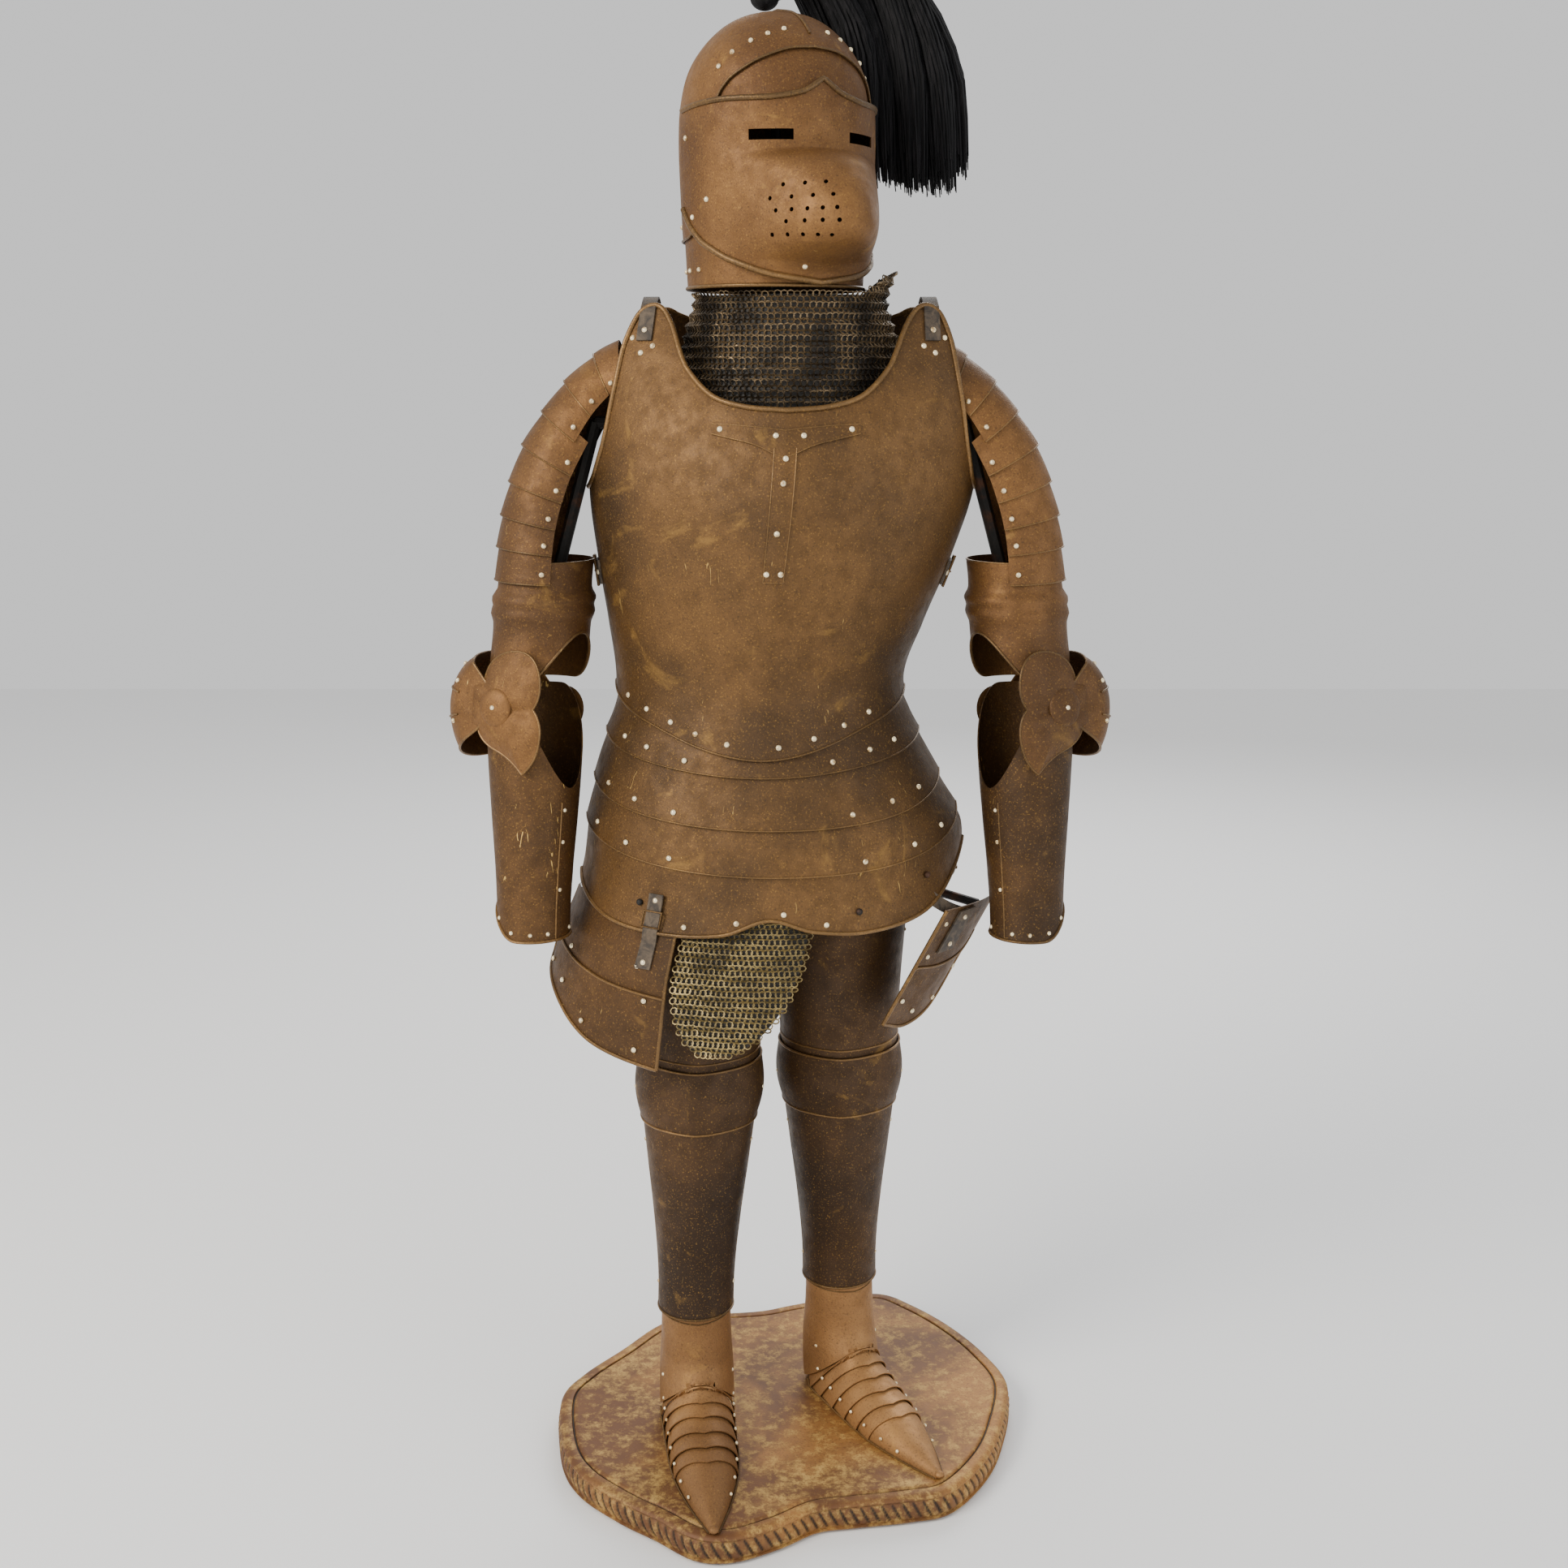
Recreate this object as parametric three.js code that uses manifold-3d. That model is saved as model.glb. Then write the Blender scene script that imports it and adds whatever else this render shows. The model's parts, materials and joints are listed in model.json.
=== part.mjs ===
// A suit of armour on a low cloud-shaped plinth, in millimetres, with +Z up.
// The front looks along -Y and +X is the wearer's left. The origin lies under the body, on the plinth's underside.
// Turns are in degrees round +Z from the front: 0 is the front, -90 the wearer's right side and 90 the left.
import * as THREE from "three";
import { mergeVertices } from "three/addons/utils/BufferGeometryUtils.js";
import Module from "manifold-3d";

const wasm = await Module();
wasm.setup();

// Driving sizes
const WALL = 1.6; // steel plate
const LEATHER = 2.4;
const MAIL = 3;
const GAP = 0.4; // between pieces that rest on each other
const TUCK = 2.4; // how far the top of a lame lies under the plate above it
const OVERLAP = 12; // how far a lame reaches under the plate above it
const PLINTH_HEIGHT = 40;
const BEVEL = 5;
const ARM_MIRROR = -5; // the plane between the arms
const ELBOW = { x: -318, y: -48, z: 1010, turn: 30, tilt: 9, reach: 116, side: 61.9 };
const RIGHT_FOOT = { x: -119, y: -98, turn: 7 };
const LEFT_FOOT = { x: 77, y: -12, turn: 27 };
const RIGHT_HIP = { x: -108, y: -22 };
const LEFT_HIP = { x: 74, y: 10 };
const LEG_SPAN = { low: 213, high: 745 };
const HEAD = { x: -10, y: -8, turn: 27 };
const POST = 8; // radius of the hidden stand's rods
const STUB = 6; // radius of its rounded side arms
const RAD = Math.PI / 180;

const STEEL = { color: 0x8c6a42, roughness: 0.45, metalness: 0.9 };
const DARK_STEEL = { color: 0x6b4f32, roughness: 0.5, metalness: 0.9 };
const STONE = { color: 0x96704a, roughness: 0.6, metalness: 0.6 };
const STRAP = { color: 0x5a4c3c, roughness: 0.8, metalness: 0 };
const RINGS = { color: 0x4a4234, roughness: 0.6, metalness: 0.8 };
const FEATHER = { color: 0x0c0b0b, roughness: 0.9, metalness: 0 };
const IRON = { color: 0x2c2a28, roughness: 0.7, metalness: 0.8 };

const armour = new THREE.Group();

// Section tables

// The trunk, from the hem of the tassets to the shoulders: half width, depth in front and behind, and keel
const TRUNK = [
  { z: 560, x: -20, half: 322, front: 236, back: 190, keel: 0 },
  { z: 690, x: -20, half: 288, front: 226, back: 184, keel: 0 },
  { z: 784, x: -18, half: 252, front: 214, back: 178, keel: 0 },
  { z: 860, x: -13, half: 248, front: 208, back: 176, keel: 0 },
  { z: 910, x: -20, half: 231, front: 195, back: 166, keel: 0 },
  { z: 960, x: -26, half: 213, front: 180, back: 152, keel: 3 },
  { z: 1010, x: -29, half: 193, front: 167, back: 140, keel: 5 },
  { z: 1050, x: -31, half: 187, front: 160, back: 132, keel: 7 },
  { z: 1110, x: -24, half: 201, front: 166, back: 128, keel: 9 },
  { z: 1184, x: -14, half: 222, front: 176, back: 128, keel: 12 },
  { z: 1289, x: -3, half: 244, front: 180, back: 134, keel: 14 },
  { z: 1380, x: 3, half: 242, front: 158, back: 132, keel: 10 },
  { z: 1457, x: 5, half: 236, front: 112, back: 108, keel: 2 },
  { z: 1520, x: 8, half: 230, front: 66, back: 66, keel: 0 },
];
const KEEL_TURN = 34;

// Edges of the trunk's plates: height at each turn
const BREAST_TOP = [
  { turn: -90, z: 1289 },
  { turn: -80, z: 1291 },
  { turn: -72, z: 1306 },
  { turn: -66, z: 1342 },
  { turn: -62, z: 1400 },
  { turn: -58, z: 1462 },
  { turn: -52, z: 1499 },
  { turn: -44, z: 1508 },
  { turn: -38, z: 1488 },
  { turn: -31, z: 1436 },
  { turn: -22, z: 1402 },
  { turn: -12, z: 1389 },
  { turn: 0, z: 1385 },
];
const BACK_TOP = [
  { turn: -90, z: 1289 },
  { turn: -80, z: 1291 },
  { turn: -72, z: 1306 },
  { turn: -66, z: 1342 },
  { turn: -62, z: 1400 },
  { turn: -58, z: 1462 },
  { turn: -52, z: 1499 },
  { turn: -44, z: 1508 },
  { turn: -38, z: 1502 },
  { turn: -22, z: 1480 },
  { turn: 0, z: 1474 },
];
const BREAST_HEM = [
  { turn: -90, z: 1042 },
  { turn: -45, z: 1004 },
  { turn: 0, z: 969 },
  { turn: 45, z: 1004 },
  { turn: 90, z: 1038 },
];
const FAULD_HEMS = [
  [
    { turn: -90, z: 986 },
    { turn: -45, z: 960 },
    { turn: 0, z: 948 },
    { turn: 45, z: 960 },
    { turn: 90, z: 986 },
  ],
  [
    { turn: -90, z: 926 },
    { turn: -45, z: 896 },
    { turn: 0, z: 886 },
    { turn: 45, z: 896 },
    { turn: 90, z: 932 },
  ],
  [
    { turn: -90, z: 872 },
    { turn: -45, z: 840 },
    { turn: 0, z: 830 },
    { turn: 45, z: 840 },
    { turn: 90, z: 890 },
  ],
  [
    { turn: -90, z: 800 },
    { turn: -70, z: 776 },
    { turn: -50, z: 757 },
    { turn: -28, z: 752 },
    { turn: -12, z: 758 },
    { turn: 0, z: 777 },
    { turn: 12, z: 762 },
    { turn: 28, z: 756 },
    { turn: 50, z: 768 },
    { turn: 70, z: 802 },
    { turn: 90, z: 852 },
  ],
];
const TASSET_HEM = [
  { turn: -92, z: 668 },
  { turn: -70, z: 640 },
  { turn: -48, z: 600 },
  { turn: -24, z: 578 },
];

// One leg, round its own middle line
const LEG = [
  { z: 200, half: 50, front: 50, back: 50, keel: 0 },
  { z: 255, half: 51, front: 51, back: 54, keel: 0 },
  { z: 330, half: 58, front: 60, back: 68, keel: 2 },
  { z: 410, half: 68, front: 68, back: 76, keel: 4 },
  { z: 480, half: 76, front: 74, back: 74, keel: 5 },
  { z: 540, half: 79, front: 78, back: 74, keel: 5 },
  { z: 620, half: 82, front: 84, back: 82, keel: 3 },
  { z: 750, half: 93, front: 94, back: 90, keel: 0 },
];

// The top of the foot as a fan of arches, from the ankle to the toe: arch root, lean, half width and height
const FOOT = [
  { at: 0, y: 0, z: 222, lean: 0, half: 46, rise: 46 },
  { at: 1, y: 0, z: 165, lean: 4, half: 47, rise: 48 },
  { at: 2, y: 2, z: 105, lean: 22, half: 50, rise: 62 },
  { at: 3, y: -8, z: 41, lean: 52, half: 50, rise: 96 },
  { at: 4, y: -62, z: 40.6, lean: 72, half: 48, rise: 68 },
  { at: 5, y: -115, z: 40.6, lean: 84, half: 46, rise: 50 },
  { at: 6, y: -165, z: 40.6, lean: 88, half: 40, rise: 38 },
  { at: 7, y: -218, z: 40.6, lean: 90, half: 26, rise: 24 },
  { at: 8, y: -272, z: 40.6, lean: 90, half: 6, rise: 8 },
];
const CHEVRON = 0.55;

// The wearer's right shoulder as a fan of arches: middle, lean of the outer side and radius
const SHOULDER = [
  { at: 0, x: -199, y: -6, z: 1412, lean: 84, radius: 56 },
  { at: 1, x: -214, y: -6, z: 1400, lean: 66, radius: 56 },
  { at: 2, x: -236, y: -8, z: 1375, lean: 49, radius: 58 },
  { at: 3, x: -255, y: -12, z: 1344, lean: 39, radius: 61 },
  { at: 4, x: -273, y: -15, z: 1311, lean: 29, radius: 63 },
  { at: 5, x: -286, y: -18, z: 1276, lean: 19, radius: 63 },
  { at: 6, x: -295, y: -21, z: 1242, lean: 12, radius: 63 },
  { at: 7, x: -300, y: -24, z: 1209, lean: 6, radius: 63 },
  { at: 8, x: -303, y: -27, z: 1172, lean: 2, radius: 63 },
];

// Arm tubes round their own middle line
const UPPER_ARM = [
  { z: 1040, x: -315.3, y: -44.1, half: 62.1 },
  { z: 1080, x: -311.7, y: -38.9, half: 62.1 },
  { z: 1120, x: -308.1, y: -33.7, half: 62 },
  { z: 1133, x: -306.9, y: -32, half: 66 },
  { z: 1142, x: -306.1, y: -30.8, half: 64 },
  { z: 1151, x: -305.3, y: -29.7, half: 66 },
  { z: 1163, x: -304.2, y: -28.1, half: 59.8 },
  { z: 1200, x: -300.9, y: -23.3, half: 59.4 },
];
const FOREARM = [
  { z: 715, x: -322, y: -105.5, half: 47.5 },
  { z: 740, x: -321.5, y: -100.6, half: 46.5 },
  { z: 800, x: -320.5, y: -89, half: 49 },
  { z: 884, x: -319.3, y: -72.5, half: 55.5 },
  { z: 950, x: -318.6, y: -60, half: 60 },
  { z: 1000, x: -318, y: -50, half: 62.1 },
  { z: 1040, x: -318, y: -42, half: 62.1 },
];

// The head, in stations from the neck to the crown
const HELM = [
  { at: 0, z: 1528, half: 111, front: 107, back: 113 },
  { at: 1, z: 1580, half: 113, front: 111, back: 118 },
  { at: 2, z: 1640, half: 115, front: 115, back: 125 },
  { at: 3, z: 1700, half: 116, front: 118, back: 129 },
  { at: 4, z: 1745, half: 113, front: 117, back: 127 },
  { at: 5, z: 1785, half: 102, front: 107, back: 115 },
  { at: 6, z: 1818, half: 78, front: 82, back: 91 },
  { at: 7, z: 1840, half: 47, front: 49, back: 55 },
  { at: 8, z: 1852, half: 0.1, front: 0.1, back: 0.1 },
];
const SKULL_HEM = [
  { turn: 0, at: 5.3 },
  { turn: 20, at: 5.2 },
  { turn: 40, at: 4.85 },
  { turn: 56, at: 4.4 },
  { turn: 64, at: 3.9 },
  { turn: 70, at: 2.6 },
  { turn: 78, at: 1.5 },
  { turn: 92, at: 1.15 },
  { turn: 120, at: 1.1 },
  { turn: 150, at: 1.1 },
  { turn: 180, at: 1.1 },
];
const VISOR_TOP = [
  { turn: 0, at: 4.3 },
  { turn: 12, at: 3.95 },
  { turn: 30, at: 3.8 },
  { turn: 60, at: 3.8 },
  { turn: 80, at: 3.75 },
  { turn: 97, at: 3.7 },
];
const VISOR_HEM = [
  { turn: 0, at: 0.12 },
  { turn: 30, at: 0.3 },
  { turn: 55, at: 0.62 },
  { turn: 75, at: 1 },
  { turn: 88, at: 1.35 },
  { turn: 97, at: 1.7 },
];
const BEAK = [
  { at: 0, reach: 4 },
  { at: 0.4, reach: 24 },
  { at: 0.9, reach: 64 },
  { at: 1.25, reach: 82 },
  { at: 1.6, reach: 79 },
  { at: 2, reach: 62 },
  { at: 2.3, reach: 40 },
  { at: 2.5, reach: 18 },
  { at: 2.65, reach: 6 },
  { at: 2.9, reach: 2 },
  { at: 3.3, reach: 1 },
  { at: 5, reach: 1 },
];
const BEAK_TURN = 62;
const BEAK_ROUND = 1.3;

// Value of every column of a table at a key, by a Catmull-Rom curve through the rows
function along(table, name, key) {
  const last = table.length - 1;
  let i = 0;
  while (i < last - 1 && key > table[i + 1][name]) i += 1;
  const f = (key - table[i][name]) / (table[i + 1][name] - table[i][name]);
  const row = {};
  for (const column of Object.keys(table[0])) {
    const b = table[i][column];
    const c = table[i + 1][column];
    const a = i > 0 ? table[i - 1][column] : 2 * b - c;
    const d = i < last - 1 ? table[i + 2][column] : 2 * c - b;
    const cubic = (3 * b - a - 3 * c + d) * f * f * f;
    row[column] = 0.5 * (2 * b + (c - a) * f + (2 * a - 5 * b + 4 * c - d) * f * f + cubic);
  }
  return row;
}

function range(from, to, steps) {
  return Array.from({ length: steps + 1 }, (_, i) => from + ((to - from) * i) / steps);
}

function mix(a, b, t) {
  return a + (b - a) * t;
}

// Surfaces: each gives the point of the outer face at a turn and a height or station

function oval(turn, middle, row, reach = 0) {
  const depth = Math.abs(turn) <= 90 || Math.abs(turn) >= 270 ? row.front + reach : row.back;
  const x = middle.x + row.half * Math.sin(turn * RAD);
  return new THREE.Vector3(x, middle.y - depth * Math.cos(turn * RAD), row.z);
}

function trunk(turn, z) {
  const row = along(TRUNK, "z", z);
  const keel = row.keel * Math.max(0, 1 - Math.abs(turn) / KEEL_TURN);
  return oval(turn, { x: row.x, y: 0 }, row, keel);
}

function leg(foot, hip) {
  return (turn, z) => {
    const row = along(LEG, "z", z);
    const climb = (z - LEG_SPAN.low) / (LEG_SPAN.high - LEG_SPAN.low);
    const middle = { x: mix(foot.x, hip.x, climb), y: mix(foot.y, hip.y, climb) };
    const keel = row.keel * Math.max(0, 1 - Math.abs(turn) / 30);
    return oval(turn, middle, row, keel);
  };
}

function foot(turn, station) {
  const back = CHEVRON * Math.sin((Math.PI * station) / 8) * (Math.abs(turn) / 90);
  const row = along(FOOT, "at", Math.max(0, station - back));
  const up = row.rise * Math.cos(turn * RAD);
  const x = row.half * Math.sin(turn * RAD);
  const y = row.y - up * Math.cos(row.lean * RAD);
  const root = Math.max(row.z, PLINTH_HEIGHT + 0.6);
  return new THREE.Vector3(x, y, root + up * Math.sin(row.lean * RAD));
}

function shoulder(turn, station) {
  const row = along(SHOULDER, "at", station);
  const out = row.radius * Math.cos(turn * RAD);
  const x = row.x - out * Math.cos(row.lean * RAD);
  const y = row.y + row.radius * Math.sin(turn * RAD);
  return new THREE.Vector3(x, y, row.z + out * Math.sin(row.lean * RAD));
}

function tube(table) {
  return (turn, z) => {
    const row = along(table, "z", z);
    const x = row.x + row.half * Math.sin(turn * RAD);
    return new THREE.Vector3(x, row.y - row.half * Math.cos(turn * RAD), z);
  };
}

function helm(turn, station) {
  return oval(turn, { x: 0, y: 0 }, along(HELM, "at", station));
}

function face(turn, station) {
  const share = Math.cos((Math.PI / 2) * Math.min(1, Math.abs(turn) / BEAK_TURN));
  const reach = along(BEAK, "at", station).reach * share ** BEAK_ROUND;
  return oval(turn, { x: 0, y: 0 }, along(HELM, "at", station), reach);
}

// Solids

function geometryOf(points, faces) {
  const made = new THREE.BufferGeometry();
  const flat = points.flatMap((p) => [p.x, p.y, p.z]);
  made.setAttribute("position", new THREE.Float32BufferAttribute(flat, 3));
  made.setIndex(faces.flat());
  const merged = mergeVertices(made, 0.01);
  const index = Array.from(merged.index.array);
  const kept = [];
  for (let i = 0; i < index.length; i += 3) {
    const [a, b, c] = index.slice(i, i + 3);
    if (a !== b && b !== c && c !== a) kept.push(a, b, c);
  }
  merged.setIndex(kept);
  return merged;
}

function normalAt(surface, u, v, du, dv) {
  const right = surface(u + du, v).sub(surface(u - du, v));
  const up = surface(u, v + dv).sub(surface(u, v - dv));
  return right.cross(up).normalize();
}

// A plate behind an outer face. rows(u) lists the places up the plate at one turn, lift moves the face outwards
function plate(surface, columns, rows, options = {}) {
  const { wall = WALL, lift = () => 0, closed = false, hint = 0.02 } = options;
  const outer = [];
  const inner = [];
  for (const u of columns) {
    const list = rows(u);
    list.forEach((v, j) => {
      const normal = normalAt(surface, u, v, 0.2, hint);
      const point = surface(u, v);
      const raised = lift(j / (list.length - 1), u);
      outer.push(point.clone().addScaledVector(normal, raised));
      inner.push(point.clone().addScaledVector(normal, raised - wall));
    });
  }
  const up = outer.length / columns.length;
  const shift = outer.length;
  const faces = [];
  const quad = (a, b, c, d) => faces.push([a, b, c], [a, c, d]);
  const spans = closed ? columns.length : columns.length - 1;
  for (let i = 0; i < spans; i += 1) {
    const here = i * up;
    const next = ((i + 1) % columns.length) * up;
    for (let j = 0; j < up - 1; j += 1) {
      quad(here + j, next + j, next + j + 1, here + j + 1);
      quad(shift + here + j, shift + here + j + 1, shift + next + j + 1, shift + next + j);
    }
    quad(here, shift + here, shift + next, next);
    quad(here + up - 1, next + up - 1, shift + next + up - 1, shift + here + up - 1);
  }
  if (!closed) {
    const end = (columns.length - 1) * up;
    for (let j = 0; j < up - 1; j += 1) {
      quad(j, j + 1, shift + j + 1, shift + j);
      quad(end + j, shift + end + j, shift + end + j + 1, end + j + 1);
    }
  }
  return geometryOf([...outer, ...inner], faces);
}

function between(low, high, steps) {
  return (u) => range(low(u), high(u), steps);
}

function edge(table, name) {
  return (turn) => along(table, "turn", turn)[name];
}

function mirrorEdge(table, name) {
  return (turn) => along(table, "turn", -Math.abs(turn))[name];
}

function faceEdge(table) {
  return (turn) => along(table, "turn", Math.abs(turn)).at;
}

function solidOf(geometry) {
  const bare = geometry.clone();
  bare.deleteAttribute("normal");
  bare.deleteAttribute("uv");
  const merged = mergeVertices(bare, 0.001);
  const vertProperties = Float32Array.from(merged.attributes.position.array);
  const triVerts = Uint32Array.from(merged.index.array);
  return new wasm.Manifold(new wasm.Mesh({ numProp: 3, vertProperties, triVerts }));
}

function geometryFrom(solid) {
  const { numProp, vertProperties, triVerts } = solid.getMesh();
  const made = new THREE.BufferGeometry();
  const places = [];
  for (let i = 0; i < vertProperties.length; i += numProp) {
    places.push(vertProperties[i], vertProperties[i + 1], vertProperties[i + 2]);
  }
  made.setAttribute("position", new THREE.Float32BufferAttribute(places, 3));
  made.setIndex(Array.from(triVerts));
  return made;
}

function joined(geometries) {
  return geometryFrom(geometries.map(solidOf).reduce((a, b) => a.add(b)));
}

// Fills the hollows that pieces close off between them when they are joined
function filled(geometry) {
  const shells = solidOf(geometry).decompose();
  return geometryFrom(shells.reduce((a, b) => (b.volume() > a.volume() ? b : a)));
}

function cut(geometry, cutters) {
  return geometryFrom(cutters.map(solidOf).reduce((a, b) => a.subtract(b), solidOf(geometry)));
}

function mirrored(geometry, plane) {
  const made = geometry.clone().applyMatrix4(new THREE.Matrix4().makeScale(-1, 1, 1));
  made.translate(2 * plane, 0, 0);
  const index = Array.from(made.index.array);
  for (let i = 0; i < index.length; i += 3) {
    [index[i + 1], index[i + 2]] = [index[i + 2], index[i + 1]];
  }
  made.setIndex(index);
  return made;
}

function aimed(geometry, from, to) {
  const direction = to.clone().sub(from).normalize();
  const turn = new THREE.Quaternion().setFromUnitVectors(new THREE.Vector3(0, 1, 0), direction);
  geometry.applyQuaternion(turn);
  const middle = from.clone().add(to).multiplyScalar(0.5);
  return geometry.translate(middle.x, middle.y, middle.z);
}

function rod(from, to, radius, sides = 10) {
  const length = from.distanceTo(to);
  return aimed(new THREE.CylinderGeometry(radius, radius, length, sides), from, to);
}

function stub(from, to, radius) {
  const length = from.distanceTo(to);
  return aimed(new THREE.CapsuleGeometry(radius, length, 1, 8), from, to);
}

function add(name, geometry, look, parent = armour) {
  const mesh = new THREE.Mesh(geometry, new THREE.MeshStandardMaterial(look));
  mesh.name = name;
  parent.add(mesh);
  return mesh;
}

// Plinth

const PLINTH_OUTLINE = [
  [-306, -63], [-292, -172], [-262, -238], [-207, -292], [-158, -328], [-108, -366], [-62, -369],
  [-8, -344], [40, -312], [88, -302], [160, -290], [212, -272], [262, -206], [292, -130], [312, -27],
  [288, 55], [246, 130], [196, 190], [148, 226], [80, 214], [14, 192], [-30, 175], [-78, 168],
  [-138, 166], [-188, 130], [-234, 64], [-282, -2],
];

function plinth() {
  const corners = PLINTH_OUTLINE.map(([x, y]) => new THREE.Vector3(x, y, 0));
  const curve = new THREE.CatmullRomCurve3(corners, true, "centripetal");
  const points = curve.getPoints(PLINTH_OUTLINE.length * 2).slice(0, -1);
  const shape = new THREE.Shape(points.map((p) => new THREE.Vector2(p.x, p.y)));
  const depth = PLINTH_HEIGHT - 2 * BEVEL;
  const sides = { depth, bevelThickness: BEVEL, bevelSize: BEVEL, bevelSegments: 1 };
  return new THREE.ExtrudeGeometry(shape, sides).translate(0, 0, BEVEL);
}

add("base_plinth", plinth(), STONE);

// Feet and legs

function addFoot(side, place) {
  const group = new THREE.Group();
  group.position.set(place.x, place.y, 0);
  group.rotation.z = place.turn * RAD;
  armour.add(group);
  const turns = range(-90, 90, 10);
  const down = (surface) => (turn, place) => surface(turn, -place);
  const stations = (list) => () => list.map((s) => -s).reverse();
  const steps = [3, 3.2, 3.35, 3.75, 3.8, 4.5, 4.55, 5.25, 5.3, 5.95, 6.15];
  const lifts = [-TUCK - 0.6, -TUCK - 0.6, -TUCK, 0, -1.3, 0, -1.3, 0, -1.3, 0, 0];
  const stepLift = (share) => lifts[lifts.length - 1 - Math.round(share * (lifts.length - 1))];
  add(`sabaton_${side}_ankle`, plate(down(foot), turns, stations([0, 0.9, 1.7, 2.4, 3, 3.2])), STEEL, group);
  const lames = plate(down(foot), turns, stations(steps), { lift: stepLift });
  add(`sabaton_${side}_lames`, lames, STEEL, group);
  const toe = plate(down(foot), turns, stations([5.95, 6.15, 6.7, 7.3, 8]), { lift: () => -TUCK });
  add(`sabaton_${side}_toe`, toe, STEEL, group);
}

function addLeg(side, place, hip) {
  const surface = leg(place, hip);
  const turns = range(-180, 180, 16).slice(0, -1);
  const ring = { closed: true, hint: 1 };
  const bulge = (share) => 2.6 + 6 * Math.sin(Math.PI * share);
  add(`greave_${side}`, plate(surface, turns, () => [203, 255, 330, 410, 500], ring), STEEL);
  add(`cuisse_${side}`, plate(surface, turns, () => [510, 560, 640, 748], ring), STEEL);
  const band = plate(surface, turns, () => [462, 482, 505, 528, 546], { ...ring, lift: bulge });
  add(`knee_band_${side}`, band, STEEL);
}

addFoot("right", RIGHT_FOOT);
addFoot("left", LEFT_FOOT);
addLeg("right", RIGHT_FOOT, RIGHT_HIP);
addLeg("left", LEFT_FOOT, LEFT_HIP);

// Trunk

const ARMHOLE_TURNS = [-80, -72, -66, -62, -58, -52, -44, -38, -31, -22, -12];
const FRONT_TURNS = [-89, ...ARMHOLE_TURNS, 0, ...ARMHOLE_TURNS.map((t) => -t).reverse(), 86];
const high = { hint: 1 };

const breastHem = edge(BREAST_HEM, "z");
const breastTop = mirrorEdge(BREAST_TOP, "z");
const breastRows = (turn) => [breastHem(turn), ...range(breastHem(turn) + OVERLAP, breastTop(turn), 6)];
add("breastplate", plate(trunk, FRONT_TURNS, breastRows, high), STEEL);

const BACK_TURNS = [92, 100, 108, 114, 118, 122, 128, 136, 142, 158, 180, 202, 218, 224, 232, 238, 242, 246, 252, 260, 268];
const backTop = (turn) => along(BACK_TOP, "turn", -Math.abs(turn - 180)).z;
add("backplate", plate(trunk, BACK_TURNS, between(() => 1030, backTop, 5), high), STEEL);

const hems = [BREAST_HEM, ...FAULD_HEMS].map((table) => edge(table, "z"));
const LAME_TURNS = range(-84, 84, 20);
const lameLift = (share) => (share < 0.5 ? 0 : -TUCK - 0.3);
for (let i = 1; i < hems.length; i += 1) {
  const rows = (turn) => {
    const [low, top] = [hems[i](turn), hems[i - 1](turn)];
    return [low, low + OVERLAP, top, top + OVERLAP];
  };
  add(`fauld_lame_${i}`, plate(trunk, LAME_TURNS, rows, { lift: lameLift, hint: 1 }), STEEL);
}

const inside = -(TUCK + WALL + 0.9);
// The culet shares the lames' steps where it lies behind them, so that the gap between them is even
const CULET_TURNS = [75.6, 84, ...range(98, 262, 8), 276, 284.4];
const culetRows = (turn) => {
  const across = Math.min(Math.max((turn - 84) / 192, 0), 1);
  const [near, far] = [Math.min(turn, 84), Math.max(turn, 276) - 360];
  const seams = hems.map((hem) => mix(hem(near), hem(far), across)).reverse();
  return [Math.min(790, seams[0] - 6), ...seams.flatMap((z) => [z, z + OVERLAP])];
};
add("culet", plate(trunk, CULET_TURNS, culetRows, { lift: () => inside, hint: 1 }), STEEL);

function band(turns, rows, lift, wall = LEATHER) {
  return plate(trunk, turns, () => rows, { lift, wall, hint: 1 });
}

const onPlate = LEATHER + GAP;
for (const [side, middle] of [["left", 90], ["right", -90]]) {
  add(`side_strap_${side}`, band(range(middle - 12, middle + 12, 4), [1168, 1198], () => onPlate), STRAP);
}

// Shoulder straps lie on the breastplate's tab, go over the shoulder and lie on the backplate's tab
function shoulderStrap(turn, place) {
  if (place <= 1) return trunk(turn, mix(1466, 1506, place));
  if (place >= 2) return trunk(Math.sign(turn) * 180 - turn, mix(1506, 1466, place - 2));
  const from = trunk(turn, 1506);
  const to = trunk(Math.sign(turn) * 180 - turn, 1506);
  const over = from.lerp(to, place - 1);
  over.z += 12 * Math.sin(Math.PI * (place - 1));
  return over;
}

for (const [side, sign] of [["right", -1], ["left", 1]]) {
  const turns = range(sign * 48 - 3.4, sign * 48 + 3.4, 2);
  const places = [0, 0.5, 1, 1.2, 1.5, 1.8, 2, 2.5, 3];
  const lift = () => onPlate + 0.3;
  add(`shoulder_strap_${side}`, plate(shoulderStrap, turns, () => places, { lift, wall: LEATHER }), STRAP);
}

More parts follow.
